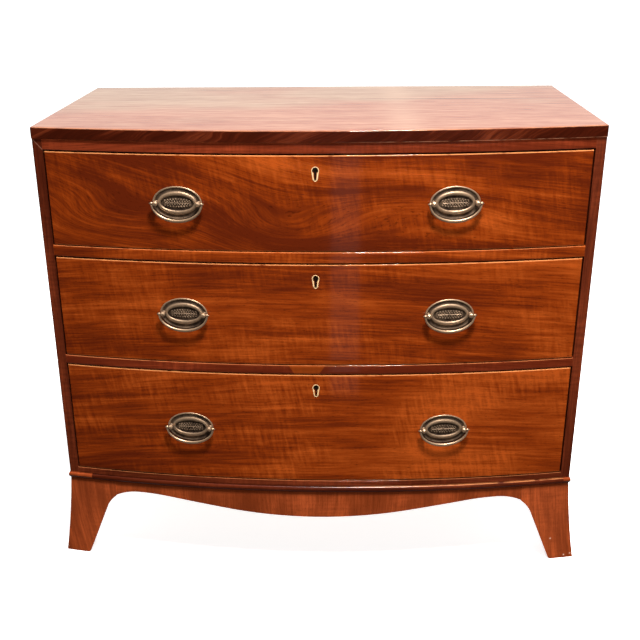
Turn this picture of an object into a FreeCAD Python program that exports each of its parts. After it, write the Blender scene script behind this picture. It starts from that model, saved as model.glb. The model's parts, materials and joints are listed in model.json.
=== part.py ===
import FreeCAD, Part
import math
import os
import re

import Sketcher

# Bow-front chest of three long graduated drawers on splayed bracket feet.
# +X is to the right, +Y to the back and +Z up. The origin is on the floor, under the middle of the whole
# object. Lengths are in millimetres. The front is an arc in plan: every rail, drawer front, apron and
# moulding on it is concentric with that arc, and "the front corners" are where the arc meets the sides.

SIZES = (
    ("top_width", 1000.0, "width of the top board"),
    ("side_depth", 520.0, "from the front corners to the back"),
    ("bow", 50.0, "how far the middle of the front stands before its corners"),
    ("top_thick", 20.0, "top board"),
    ("top_front_overhang", 2.0, "top board past the carcase at the front"),
    ("top_side_overhang", 1.0, "top board past the carcase at each side"),
    ("top_arris", 1.5, "chamfer of the top board's upper edge"),
    ("side_thick", 18.0, "carcase side, and the face of a stile"),
    ("stile_depth", 22.0, "back of the stiles behind the front corners"),
    ("rail_depth", 70.0, "back of the front rails behind the front corners"),
    ("rail_arris", 1.0, "chamfer of the long front edges of a rail"),
    ("top_rail_height", 19.0, "rail under the top"),
    ("divider_1_height", 20.0, "rail under the top drawer"),
    ("divider_2_height", 17.0, "rail under the middle drawer"),
    ("base_rail_height", 12.0, "rail under the bottom drawer"),
    ("housing_depth", 8.0, "how far rails and boards are let into the sides"),
    ("back_thick", 8.0, "back boards"),
    ("back_lap", 9.0, "back boards let into each side"),
    ("back_board_gap", 0.5, "shrinkage gap between back boards"),
    ("back_rail_depth", 60.0, "rail under the back of the top"),
    ("runner_width", 28.0, "drawer runner, inwards from the side"),
    ("running_gap", 0.3, "between a drawer side and what it runs on"),
    ("dust_thick", 6.0, "dust board"),
    ("dust_lap", 6.0, "groove that holds the edge of a dust board"),
    ("stop_spacing", 240.0, "between the two drawer stops of a rail"),
    ("stop_width", 30.0, "drawer stop along the rail"),
    ("stop_depth", 12.0, "drawer stop from front to back"),
    ("stop_height", 5.0, "drawer stop above the rail"),
    ("stop_gap", 0.3, "between a stop and a shut drawer front"),
    ("foot_height", 162.5, "feet and aprons, up to the moulding"),
    ("foot_inset", 0.2, "feet and aprons behind the carcase faces"),
    ("foot_thick", 20.0, "feet and aprons"),
    ("foot_width", 94.0, "bracket of a foot, from its corner to the seam"),
    ("foot_toe", 30.0, "bracket at the floor, inwards from the unsplayed corner"),
    ("foot_knee", 73.0, "bracket at its knee, inwards from the corner"),
    ("foot_knee_height", 104.0, "knee above the floor"),
    ("foot_knee_radius", 66.0, "curve from the knee to the seam"),
    ("foot_toe_round", 6.0, "how far the inner corner of a toe is rounded off"),
    ("foot_splay", 20.0, "how far a toe kicks out"),
    ("splay_radius", 1750.0, "curve of the kick, from the moulding to the floor"),
    ("foot_back_width", 90.0, "back bracket of a back foot"),
    ("apron_end", 31.5, "depth of the apron at the seams"),
    ("apron_arch", 19.7, "depth of the apron at its arches"),
    ("apron_arch_in", 47.0, "arch, inwards from the seam"),
    ("apron_rise", 25.2, "depth of the apron where its straight slope starts"),
    ("apron_rise_in", 114.0, "start of that slope, inwards from the seam"),
    ("apron_dip", 41.0, "depth of the apron where the slope ends"),
    ("apron_dip_in", 214.0, "end of that slope, inwards from the seam"),
    ("apron_centre", 57.0, "depth of the apron at its middle"),
    ("side_apron_arch_in", 30.0, "arch of a side apron, inwards from the seam"),
    ("block_leg", 38.0, "glue block behind a foot, along each bracket"),
    ("block_rise", 112.0, "glue block above the floor"),
    ("moulding_height", 13.0, "bead moulding under the carcase"),
    ("moulding_reach", 3.5, "bead past the carcase faces"),
    ("drawer_1_height", 168.5, "top drawer front"),
    ("drawer_2_height", 192.0, "middle drawer front"),
    ("drawer_3_height", 222.0, "bottom drawer front"),
    ("drawer_top_gap", 2.5, "above a drawer front"),
    ("drawer_bottom_gap", 1.5, "below a drawer front"),
    ("drawer_side_gap", 2.0, "at each side of a drawer"),
    ("drawer_recess", 1.0, "drawer front behind the rails"),
    ("drawer_back_gap", 12.0, "between a shut drawer and the back boards"),
    ("drawer_front_thick", 20.0, "drawer front"),
    ("drawer_front_arris", 1.2, "chamfer round a drawer front"),
    ("drawer_side_thick", 10.0, "drawer side"),
    ("drawer_side_drop", 3.0, "drawer side below the top of the front"),
    ("drawer_back_thick", 10.0, "drawer back"),
    ("drawer_back_drop", 12.0, "drawer back below the drawer sides"),
    ("bottom_thick", 7.0, "drawer bottom"),
    ("bottom_raise", 10.0, "drawer bottom above the lower edge of its sides"),
    ("bottom_groove", 4.5, "groove that holds the drawer bottom"),
    ("bottom_play", 0.3, "between the drawer bottom and the end of its groove"),
    ("dovetail_length", 12.0, "lapped dovetail into the drawer front"),
    ("dovetail_slope", 0.15, "widening of a dovetail for each unit of its length"),
    ("pin_width", 5.0, "pin between two dovetails, at its narrow end"),
    ("half_pin", 6.0, "half pin at each end of a row of dovetails"),
    ("lock_width", 64.0, "lock case"),
    ("lock_height", 44.0, "lock case, down from the top of the drawer front"),
    ("lock_thick", 11.0, "lock case, let into the back of the front"),
    ("bolt_width", 22.0, "lock bolt"),
    ("bolt_thick", 3.0, "lock bolt"),
    ("bolt_height", 28.0, "lock bolt"),
    ("bolt_throw", 8.0, "how far the bolt rises"),
    ("bolt_play", 0.3, "round the bolt in its case and in the rail"),
    ("drill_pin_radius", 1.6, "pin that a hollow key turns on"),
    ("drill_pin_set_back", 2.5, "end of that pin behind the drawer face"),
    ("escutcheon_drop", 32.0, "middle of the escutcheon below the top of the front"),
    ("escutcheon_height", 26.0, "bone inlay round the keyhole"),
    ("escutcheon_radius", 6.8, "its round top"),
    ("escutcheon_foot_radius", 4.6, "its round foot"),
    ("escutcheon_thick", 3.0, "bone inlay"),
    ("keyhole_radius", 4.2, "round part of the keyhole"),
    ("keyhole_neck", 1.9, "half width of the keyhole under its round part"),
    ("keyhole_foot", 1.5, "half width of the keyhole at its foot"),
    ("keyhole_border", 2.5, "bone under the keyhole's foot"),
    ("handle_spacing", 484.0, "between the two handles of a drawer"),
    ("handle_1_rise", 84.2, "handle above the bottom of the top drawer front"),
    ("handle_2_rise", 95.5, "handle above the bottom of the middle drawer front"),
    ("handle_3_rise", 108.0, "handle above the bottom of the bottom drawer front"),
    ("plate_width", 89.0, "oval plate"),
    ("plate_height", 59.0, "oval plate"),
    ("plate_thick", 1.4, "plate"),
    ("plate_field", 10.5, "flat border of the plate, round its raised middle"),
    ("plate_rise", 1.6, "raised middle above the border"),
    ("plate_seat", 0.05, "between the flat plate and the crown of the drawer front"),
    ("post_spacing", 76.2, "between the two posts of a handle"),
    ("post_shank", 4.6, "square shank of a post, in the plate and the drawer front"),
    ("post_clearance", 0.1, "round the shank in the plate and the wood"),
    ("post_foot_radius", 3.8, "foot of the post on the plate"),
    ("post_waist_radius", 2.7, "waist of the post"),
    ("post_waist", 4.0, "waist before the drawer face"),
    ("post_head_radius", 4.4, "head of the post"),
    ("post_head_band", 4.4, "straight band of the head, round its pin hole"),
    ("post_crown", 1.8, "crown of the head past its band"),
    ("post_tip_radius", 2.4, "flat tip of the head"),
    ("pivot_reach", 8.0, "bail's pivot line before the drawer face"),
    ("nut_width", 10.0, "square nut on the shank, inside the drawer"),
    ("nut_thick", 3.0, "nut inside the drawer"),
    ("bail_lap", 1.5, "how far the bail hangs before the rim of the plate"),
    ("bail_leg", 3.6, "width of the bail at its pivots"),
    ("bail_belly", 5.8, "width of the bail at its bottom"),
    ("bail_thick", 4.6, "bail from front to back"),
    ("bail_pin_radius", 1.4, "pins of the bail in the posts"),
    ("bail_pin_clearance", 0.08, "round a pin in its post"),
    ("bail_pin_length", 9.5, "pin, inwards from the bail's leg"),
)

# Levels upwards from the floor, lines in plan, and what follows from them.
PLACES = (
    ("carcase_half", "top_width / 2 - top_side_overhang"),
    ("inner_half", "carcase_half - side_thick"),
    ("housed_half", "inner_half + housing_depth"),
    ("drawer_half", "inner_half - drawer_side_gap"),
    ("box_half", "drawer_half - drawer_side_thick"),
    ("bow_radius", "(bow ^ 2 + carcase_half ^ 2) / (2 * bow)"),
    ("drawer_radius", "bow_radius - drawer_recess"),
    ("front_inner_radius", "drawer_radius - drawer_front_thick"),
    ("foot_radius", "bow_radius - foot_inset"),
    ("handle_half", "handle_spacing / 2"),
    ("handle_turn", "asin(handle_half / drawer_radius)"),
    ("handle_set_back", "bow_radius - bow - sqrt(drawer_radius ^ 2 - handle_half ^ 2)"),
    ("nut_reach", "(post_spacing + nut_width) / 2"),
    ("nut_sag", "front_inner_radius - sqrt(front_inner_radius ^ 2 - nut_reach ^ 2)"),
    ("nut_face", "drawer_front_thick + nut_sag + plate_seat"),
    ("post_length", "pivot_reach + post_head_band / 2 + post_crown"),
    ("post_swing", "(post_spacing / 2 + post_tip_radius) * sin(handle_turn)"),
    ("handle_reach", "post_length * cos(handle_turn) + post_swing - handle_set_back"),
    ("front_reach", "max(handle_reach; bow + moulding_reach)"),
    ("corner", "(front_reach - side_depth) / 2"),
    ("bow_centre", "corner + bow_radius - bow"),
    ("back", "corner + side_depth"),
    ("back_inner", "back - back_thick"),
    ("stile_back", "corner + stile_depth"),
    ("rail_back", "corner + rail_depth"),
    ("back_rail_front", "back_inner - back_rail_depth"),
    ("drawer_back", "back_inner - drawer_back_gap"),
    ("drawer_back_inner", "drawer_back - drawer_back_thick"),
    ("front_inner", "bow_centre - sqrt(front_inner_radius ^ 2 - box_half ^ 2)"),
    ("drawer_face", "bow_centre - drawer_radius"),
    ("lock_back", "bow_centre - front_inner_radius"),
    ("lock_front", "lock_back - lock_thick"),
    ("bolt_middle", "lock_back - lock_thick / 2"),
    ("handle_face", "corner + handle_set_back"),
    ("base_level", "foot_height + moulding_height"),
    ("floor_3", "base_level + base_rail_height"),
    ("drawer_3", "floor_3 + drawer_bottom_gap"),
    ("divider_2", "drawer_3 + drawer_3_height + drawer_top_gap"),
    ("floor_2", "divider_2 + divider_2_height"),
    ("drawer_2", "floor_2 + drawer_bottom_gap"),
    ("divider_1", "drawer_2 + drawer_2_height + drawer_top_gap"),
    ("floor_1", "divider_1 + divider_1_height"),
    ("drawer_1", "floor_1 + drawer_bottom_gap"),
    ("top_rail", "drawer_1 + drawer_1_height + drawer_top_gap"),
    ("top_level", "top_rail + top_rail_height"),
    ("foot_face", "carcase_half - foot_inset"),
    ("foot_inner", "foot_face - foot_thick"),
    ("foot_seam", "foot_face - foot_width"),
    ("foot_corner", "bow_centre - sqrt(foot_radius ^ 2 - foot_face ^ 2)"),
    ("seam_level", "foot_height - apron_end"),
    ("toe_lean", "atan((foot_knee - foot_toe) / foot_knee_height)"),
    ("toe_radius", "foot_toe_round * (1 + sin(toe_lean)) / cos(toe_lean)"),
    ("bead_radius", "((moulding_height / 2) ^ 2 + moulding_reach ^ 2) / (2 * moulding_reach)"),
    ("bead_turn", "asin(moulding_height / 2 / bead_radius)"),
    ("front_side_seam", "foot_corner + foot_width"),
    ("back_side_seam", "back - foot_width"),
    ("mitre_run", "1 + foot_face / foot_radius"),
    ("mitre_fall", "sqrt(1 - (foot_face / foot_radius) ^ 2)"),
)

DRAWERS = {"1": 4, "2": 4, "3": 5}  # from the top down, with the dovetails at each corner
SIDES = (("left", -1), ("right", 1))
BACK_BOARDS = 4
POST_SIDES = 8  # the twelve small posts and their bores are many-sided in place of round
OVAL_STEPS = 24  # flats round the oval of a plate, and of the bail that follows its lower half
BEAD_STEPS = 4  # flats round the nose of the moulding
ROUND_STEPS = 4  # flats along half of a small round, in the lock's keyhole and its inlay
OUTWARDS = FreeCAD.Rotation(FreeCAD.Vector(1, 0, 0), 90)  # turns +Z to -Y and +Y to +Z
ALONG_X = FreeCAD.Rotation(FreeCAD.Vector(0, 1, 0), 90)  # turns +Z to +X
WASTE = 120.0  # how far a cutting shape reaches past the wood that it cuts
AXIS_LENGTH = 50.0  # drawn length of the line that a section turns about
LEFT, RIGHT = 1, -1  # side of an edge, as one goes along it, on which an arc's centre lies

DOC = FreeCAD.newDocument("bow_front_chest")
NODES = []


def make_sheet(name):
    return DOC.addObject("Spreadsheet::Sheet", name)


SIZE = make_sheet("Size")
PLACE = make_sheet("Place")
SHEET_OF = {alias: "Size" for alias, _, _ in SIZES}
SHEET_OF.update({alias: "Place" for alias, _ in PLACES})


def expr(text):
    """The text with each size and place led by the name of its sheet."""
    return re.sub(r"[a-z][a-z0-9_]*", lambda word: with_sheet(word.group(0)), str(text))


def with_sheet(word):
    return f"{SHEET_OF[word]}.{word}" if word in SHEET_OF else word


def fill_sheets():
    for row, (alias, value, meaning) in enumerate(SIZES, start=1):
        SIZE.set(f"A{row}", meaning)
        SIZE.set(f"B{row}", str(value))
        SIZE.setAlias(f"B{row}", alias)
    for row, (alias, formula) in enumerate(PLACES, start=1):
        PLACE.set(f"B{row}", "=" + expr(formula).replace("Place.", ""))
        PLACE.setAlias(f"B{row}", alias)
    DOC.recompute()


def number(text):
    value = PLACE.evalExpression(expr(text).replace("Place.", ""))
    return float(getattr(value, "Value", value))


def node(feature, name):
    """Marks a finished sub-part, whose Label is the name of its file."""
    feature.Label = name
    NODES.append(feature)
    return feature


# ---- plain boards and how pieces are put together

def board(name, x, y, z):
    """Rectangular piece between a low and a high place on each axis."""
    box = DOC.addObject("Part::Box", name)
    for size, axis, (low, high) in (("Length", "x", x), ("Width", "y", y), ("Height", "z", z)):
        box.setExpression(size, expr(f"({high}) - ({low})"))
        box.setExpression(f"Placement.Base.{axis}", expr(low))
    return box


def across(half):
    return (f"-({half})", half)


def group(name, pieces):
    """Several separate pieces that stay separate solids."""
    compound = DOC.addObject("Part::Compound", name)
    compound.Links = list(pieces)
    return compound


def cut(name, base, tools):
    feature = DOC.addObject("Part::Cut", name)
    feature.Base = base
    feature.Tool = group(name + "_waste", tools)
    return feature


def fuse(name, pieces):
    feature = DOC.addObject("Part::MultiFuse", name)
    feature.Shapes = list(pieces)
    return feature


def mirrored(name, source):
    """The same piece for the left side."""
    feature = DOC.addObject("Part::Mirroring", name)
    feature.Source = source
    feature.Normal = FreeCAD.Vector(1, 0, 0)
    return feature


def both_sides(name, right):
    """Right and left piece, each a node of its own."""
    node(right, name + "_right")
    node(mirrored(name + "_mirror", right), name + "_left")


def many_sided(name, sides, rings):
    """Upright turned piece with flats in place of its roundness, from (radius, level) rings."""
    loft = DOC.addObject("Part::Loft", name)
    polygons = []
    for radius, level in rings:
        polygon = DOC.addObject("Part::RegularPolygon", f"{name}_ring")
        polygon.Polygon = sides
        polygon.Placement.Rotation = FreeCAD.Rotation(FreeCAD.Vector(0, 0, 1), 180 / sides)
        polygon.setExpression("Circumradius", expr(radius))
        polygon.setExpression("Placement.Base.z", expr(level))
        polygons.append(polygon)
    loft.Sections = polygons
    loft.Solid = True
    loft.Ruled = True
    return loft


def moved(name, source, x="0", y="0", z="0", turn=None):
    """A copy carried to a place and turned about the vertical."""
    feature = group(name, [source])
    feature.Placement = FreeCAD.Placement(FreeCAD.Vector(), FreeCAD.Rotation(FreeCAD.Vector(0, 0, 1), 1))
    feature.setExpression("Placement.Rotation.Angle", expr(turn if turn else "0"))
    for axis, place in (("x", x), ("y", y), ("z", z)):
        feature.setExpression(f"Placement.Base.{axis}", expr(place))
    return feature


# ---- sketched bodies

def new_body(name):
    return DOC.addObject("PartDesign::Body", name)


def base_plane(body, role):
    return next(plane for plane in body.Origin.OriginFeatures if plane.Role == role)


def arc_between(start, end, radius, side):
    """Shorter arc from start to end, with its centre on the stated side of the way."""
    chord = end - start
    middle = (start + end) * 0.5
    height = math.sqrt(max(radius ** 2 - (chord.Length / 2) ** 2, 0.0))
    to_left = FreeCAD.Vector(-chord.y, chord.x, 0).normalize()
    centre = middle + to_left * (height * side)
    first, last = (start, end) if side == LEFT else (end, start)
    angles = [math.atan2(point.y - centre.y, point.x - centre.x) for point in (first, last)]
    circle = Part.Circle(centre, FreeCAD.Vector(0, 0, 1), radius)
    return Part.ArcOfCircle(circle, *angles)


def sketch(body, role, level, loops):
    """Closed outlines on one of the body's own planes, raised along its normal to a level.

    An outline is a list of corners (x, y), each a pair of places. A corner may go on with (radius, side),
    and the edge that leaves it is then an arc. A corner keeps its two distances from the origin. A tuple
    (x, y, radius) is a circle.
    """
    outline = body.newObject("Sketcher::SketchObject", body.Name + "_outline")
    outline.AttachmentSupport = [(base_plane(body, role), "")]
    outline.MapMode = "FlatFace"
    outline.setExpression("AttachmentOffset.Base.z", expr(level))
    edges = []
    rules = []
    bindings = []

    def fix(edge, point, corner, x, y):
        for kind, place, value in (("DistanceX", corner[0], x), ("DistanceY", corner[1], y)):
            bindings.append((len(rules), place))
            rules.append(Sketcher.Constraint(kind, -1, 1, edge, point, value))

    def fix_radius(edge, radius):
        bindings.append((len(rules), radius))
        rules.append(Sketcher.Constraint("Radius", edge, number(radius)))

    for loop in loops:
        first_edge = len(edges)
        if isinstance(loop, tuple):
            x, y, radius = (number(place) for place in loop)
            edges.append(Part.Circle(FreeCAD.Vector(x, y, 0), FreeCAD.Vector(0, 0, 1), radius))
            fix(first_edge, 3, loop, x, y)
            fix_radius(first_edge, loop[2])
            continue
        points = [FreeCAD.Vector(number(corner[0]), number(corner[1]), 0) for corner in loop]
        starts = [2 if len(corner) > 2 and corner[2][1] == RIGHT else 1 for corner in loop]
        for index, corner in enumerate(loop):
            here = first_edge + index
            following = (index + 1) % len(loop)
            end = points[following]
            if len(corner) > 2:
                radius, side = corner[2]
                edges.append(arc_between(points[index], end, number(radius), side))
                fix_radius(here, radius)
            else:
                edges.append(Part.LineSegment(points[index], end))
            rules.append(Sketcher.Constraint("Coincident", here, 3 - starts[index],
                                             first_edge + following, starts[following]))
            fix(here, starts[index], corner, points[index].x, points[index].y)
    outline.addGeometry(edges, False)
    outline.addConstraint(rules)
    for index, text in bindings:
        outline.setExpression(f"Constraints[{index}]", expr(text))
    return outline


def feature_of(body, kind, outline, length, flipped=False):
    feature = body.newObject(f"PartDesign::{kind}", f"{body.Name}_{kind}")
    feature.Profile = outline
    feature.setExpression("Length", expr(length))
    feature.Reversed = flipped
    outline.Visibility = False
    return feature


def pad(body, role, level, loops, length, flipped=False):
    """Extrusion along the plane's normal: +Z from XY, -Y from XZ and +X from YZ."""
    return feature_of(body, "Pad", sketch(body, role, level, loops), length, flipped)


def pocket(body, role, level, loops, length, flipped=False):
    """Cut against the plane's normal: -Z from XY, +Y from XZ and -X from YZ."""
    before = volume(body)
    feature = feature_of(body, "Pocket", sketch(body, role, level, loops), length, flipped)
    if volume(body) >= before:
        raise ValueError(f"{feature.Name} takes nothing away")
    return feature


def volume(body):
    DOC.recompute()
    return body.Shape.Volume


def pattern_up(body, feature, pitch, count):
    """The feature and its copies, one pitch apart, upwards."""
    copies = body.newObject("PartDesign::LinearPattern", body.Name + "_copies")
    copies.Originals = [feature]
    copies.Direction = (base_plane(body, "Z_Axis"), [""])
    copies.setExpression("Length", expr(f"({pitch}) * {count - 1}"))
    copies.Occurrences = count
    body.Tip = copies
    return copies


def revolve(body, outline, axis, angle):
    turned = body.newObject("PartDesign::Revolution", body.Name + "_turned")
    turned.Profile = outline
    turned.ReferenceAxis = axis
    turned.Angle = angle
    return turned


def ease(body, size, chosen):
    """Planes off those edges of the body's last feature that the test picks."""
    DOC.recompute()
    last = body.Tip
    names = [f"Edge{index}" for index, edge in enumerate(last.Shape.Edges, start=1) if chosen(edge.BoundBox)]
    arris = body.newObject("PartDesign::Chamfer", body.Name + "_arris")
    arris.Base = (last, names)
    arris.setExpression("Size", expr(size))


def at_front(radius, half):
    """Place in Y of the concentric arc of that radius, at that distance from the middle."""
    return f"(bow_centre - sqrt(({radius}) ^ 2 - ({half}) ^ 2))"


# ---- carcase

def make_top():
    body = new_body("top_board")
    radius = "bow_radius + top_front_overhang"
    half = "top_width / 2"
    front = at_front(radius, half)
    pad(body, "XY_Plane", "top_level", [[
        (f"-{half}", "back"), (f"-{half}", front, (radius, LEFT)), (half, front), (half, "back"),
    ]], "top_thick")
    upper, rear = number("top_level + top_thick"), number("back")
    ease(body, "top_arris", lambda box: box.ZMin > upper - 1 and box.YMin < rear - 1)
    node(body, "top")


def make_sides():
    height = ("base_level", "top_level")
    blank = board("side_blank", ("inner_half", "carcase_half"), ("stile_back", "back"), height)
    housed = ("inner_half", "housed_half")
    waste = [board("rebate", ("inner_half", "inner_half + back_lap"), ("back_inner", "back"), height)]
    for name, low, high in RAILS:
        waste.append(board(f"{name}_housing", housed, ("stile_back", "rail_back"), (low, high)))
    waste.append(board("bottom_housing", housed, ("rail_back", "back_inner"), ("base_level", "floor_3")))
    rear = ("back_rail_front", "back_inner")
    waste.append(board("back_rail_housing", housed, rear, ("top_rail", "top_level")))
    both_sides("side", cut("side_cut", blank, waste))

    body = new_body("stile")
    pad(body, "XY_Plane", "base_level", [[
        ("inner_half", "stile_back"),
        ("inner_half", at_front("bow_radius", "inner_half"), ("bow_radius", LEFT)),
        ("carcase_half", at_front("bow_radius", "carcase_half")), ("carcase_half", "stile_back"),
    ]], "top_level - base_level")
    both_sides("stile", body)


RAILS = (
    ("top_rail", "top_rail", "top_level"),
    ("divider_1", "divider_1", "floor_1"),
    ("divider_2", "divider_2", "floor_2"),
    ("base_rail", "base_level", "floor_3"),
)


def make_rails():
    """Bowed rails between the stiles, let into the sides behind them."""
    front = at_front("bow_radius", "inner_half")
    for name, low, high in RAILS:
        body = new_body(name + "_body")
        pad(body, "XY_Plane", low, [[
            ("-housed_half", "rail_back"), ("-housed_half", "stile_back"), ("-inner_half", "stile_back"),
            ("-inner_half", front, ("bow_radius", LEFT)), ("inner_half", front), ("inner_half", "stile_back"),
            ("housed_half", "stile_back"), ("housed_half", "rail_back"),
        ]], f"{high} - {low}")
        mouth, inner_half = number("corner"), number("inner_half")
        ease(body, "rail_arris", lambda box: box.YMin < mouth - 5 and box.XLength > inner_half)
        if name != "base_rail":
            depth = "(bolt_thick / 2 + bolt_play)"
            hole = rectangle(across("bolt_width / 2 + bolt_play"),
                             (f"bolt_middle - {depth}", f"bolt_middle + {depth}"))
            pocket(body, "XY_Plane", low, [hole], "bolt_throw + bolt_play", flipped=True)
        if name.startswith("divider"):
            pocket(body, "XY_Plane", dust_level(low, high), [rectangle(
                across("inner_half - runner_width + dust_lap"), ("rail_back - dust_lap", "rail_back"),
            )], "dust_thick", flipped=True)
        node(body, name)


def rectangle(x, y):
    return [(x[0], y[0]), (x[1], y[0]), (x[1], y[1]), (x[0], y[1])]


def dust_level(low, high):
    """Underside of a dust board, at mid height of its divider."""
    return f"(({low}) + ({high}) - dust_thick) / 2"


def make_carcase_inside():
    runners, dust_boards = [], []
    for name, low, high in RAILS[1:3]:
        dust = dust_level(low, high)
        dust_boards.append(board(f"{name}_dust", across("inner_half - runner_width + dust_lap"),
                                 ("rail_back - dust_lap", "back_inner"), (dust, f"{dust} + dust_thick")))
        blank = board(f"{name}_runner", ("inner_half - runner_width", "inner_half"),
                      ("rail_back", "back_inner"), (low, high))
        inner = "inner_half - runner_width"
        groove = board(f"{name}_groove", (inner, f"{inner} + dust_lap"),
                       ("rail_back", "back_inner"), (dust, f"{dust} + dust_thick"))
        right = cut(f"{name}_runner_cut", blank, [groove])
        runners += [right, mirrored(f"{name}_runner_mirror", right)]
    node(group("runner_set", runners), "drawer_runners")
    node(group("dust_set", dust_boards), "dust_boards")

    kicker = board("kicker", ("inner_half - runner_width", "inner_half"),
                   ("rail_back", "back_rail_front"), ("top_rail", "top_level"))
    node(group("kicker_set", [kicker, mirrored("kicker_mirror", kicker)]), "kickers")
    node(board("back_rail_board", across("housed_half"), ("back_rail_front", "back_inner"),
               ("top_rail", "top_level")), "back_rail")
    node(board("bottom", across("housed_half"), ("rail_back", "back_inner"), ("base_level", "floor_3")),
         "bottom_board")

    boards = []
    pitch = f"(2 * (inner_half + back_lap) + back_board_gap) / {BACK_BOARDS}"
    for index in range(BACK_BOARDS):
        start = f"{pitch} * {index} - inner_half - back_lap"
        boards.append(board(f"back_{index}", (start, f"{start} + {pitch} - back_board_gap"),
                            ("back_inner", "back"), ("base_level", "top_level")))
    node(group("back_set", boards), "back_boards")

    stops = []
    end = "(stop_spacing / 2 + stop_width / 2)"
    face = f"{at_front('front_inner_radius', end)} + stop_gap"
    for drawer in DRAWERS:
        right = board(f"stop_{drawer}", (f"{end} - stop_width", end), (face, f"{face} + stop_depth"),
                      (f"floor_{drawer}", f"floor_{drawer} + stop_height"))
        stops += [right, mirrored(f"stop_{drawer}_mirror", right)]
    node(group("stop_set", stops), "drawer_stops")


# ---- base: moulding, aprons and feet

def cut_mitre(body, past, low, high, side=1):
    """Cuts the right front corner (side 1) or the left one along its mitre, past it or before it."""
    run, fall = f"{WASTE / 2} * mitre_run", f"{WASTE / 2} * mitre_fall"
    outer = (f"{side} * (foot_face + {run})", f"foot_corner - {fall}")
    inner = (f"{side} * (foot_face - {run})", f"foot_corner + {fall}")
    far = f"{side} * (foot_face + {past * 2 * WASTE})"
    waste = [inner, outer, (far, outer[1]), (far, inner[1])]
    pocket(body, "XY_Plane", high, [waste], f"{high} - ({low})")


def turn_with_bow(body, profile, whole=False):
    """A section turned about the bow's centre line, past the right corner, or past both corners."""
    outline = sketch(body, "YZ_Plane", "0", [profile])
    centre = number("bow_centre")
    axis = Part.LineSegment(FreeCAD.Vector(centre, 0, 0), FreeCAD.Vector(centre, AXIS_LENGTH, 0))
    line = outline.addGeometry(axis, True)
    outline.addConstraint(Sketcher.Constraint("Vertical", line))
    outline.addConstraint(Sketcher.Constraint("PointOnObject", line, 1, -1))
    outline.addConstraint(Sketcher.Constraint("DistanceY", line, 1, line, 2, AXIS_LENGTH))
    place = outline.addConstraint(Sketcher.Constraint("DistanceX", -1, 1, line, 1, centre))
    outline.setExpression(f"Constraints[{place}]", expr("bow_centre"))
    turned = revolve(body, outline, (outline, ["Axis0"]), 1.0)
    turned.Midplane = whole
    turned.setExpression("Angle", expr(f"asin(foot_face / foot_radius) * {2.2 if whole else 1.1}"))


def bead_profile(face, inwards):
    """Section of the moulding: flat behind, with a nose of flats on a shallow arc past the face."""
    outwards = "-" if inwards == "+" else "+"
    inner = f"{face} {inwards} (foot_inset + foot_thick)"
    nose = []
    for step in range(BEAD_STEPS + 1):
        turn = f"bead_turn * {1 - 2 * step / BEAD_STEPS}"
        nose.append((f"{face} {outwards} (moulding_reach - bead_radius * (1 - cos({turn})))",
                     f"foot_height + moulding_height / 2 + bead_radius * sin({turn})"))
    return [(inner, "foot_height"), (inner, "base_level")] + nose


def make_moulding():
    front = new_body("front_bead")
    turn_with_bow(front, bead_profile("(corner - bow)", "+"), whole=True)
    for _, corner_side in SIDES:
        cut_mitre(front, 1, "foot_height - 1", "base_level + 1", corner_side)

    side = new_body("side_bead")
    pad(side, "XZ_Plane", "-back", [bead_profile("carcase_half", "-")], "side_depth + foot_thick")
    cut_mitre(side, -1, "foot_height - 1", "base_level + 1")
    node(group("moulding_set", [front, side, mirrored("side_bead_mirror", side)]), "base_moulding")


def splayed_profile(face, outwards):
    """Section of a foot, kicking outwards from the moulding to the floor in a slow arc."""
    toe = f"{face} {outwards} foot_splay"
    inwards = "-" if outwards == "+" else "+"
    inner, inner_toe = f"{face} {inwards} foot_thick", f"{toe} {inwards} foot_thick"
    turn = RIGHT if outwards == "+" else LEFT
    return [(face, "foot_height", ("splay_radius", -turn)), (toe, "0"),
            (inner_toe, "0", ("splay_radius", turn)), (inner, "foot_height")]


def bracket_waste(corner, inwards, far):
    """Elevation of what is cut from the inner edge of a bracket, below and beside its curve."""
    sizes = ("foot_width", "foot_knee", "(foot_toe + foot_toe_round * sin(toe_lean))",
             "(foot_toe - foot_toe_round)")
    seam, knee, toe, tip = (f"{corner} {inwards} {size}" for size in sizes)
    turn = RIGHT if inwards == "-" else LEFT
    return [(far, "foot_height + 1"), (seam, "foot_height + 1"),
            (seam, "seam_level", ("foot_knee_radius", turn)), (knee, "foot_knee_height"),
            (toe, "foot_toe_round * cos(toe_lean)", ("toe_radius", -turn)), (tip, "0"), (tip, "-1"),
            (far, "-1")]


def make_front_feet():
    front = new_body("front_bracket")
    turn_with_bow(front, splayed_profile("(bow_centre - foot_radius)", "-"))
    cut_mitre(front, 1, "-1", "foot_height + 1")
    far = "-WASTE".replace("WASTE", str(WASTE))
    pocket(front, "XZ_Plane", f"{WASTE} - corner", [bracket_waste("foot_face", "-", far)], f"{4 * WASTE}")

    side = new_body("front_side_bracket")
    pad(side, "XZ_Plane", "-front_side_seam", [splayed_profile("foot_face", "+")],
        "foot_width + foot_thick + foot_splay")
    cut_mitre(side, -1, "-1", "foot_height + 1")
    pocket(side, "YZ_Plane", "foot_face + foot_splay + 1",
           [bracket_waste("foot_corner", "+", "front_side_seam + 9")], "foot_thick + 2 * foot_splay")
    foot = group("front_foot", [front, side])
    node(group("front_foot_pair", [foot, mirrored("front_foot_mirror", foot)]), "front_feet")


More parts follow.
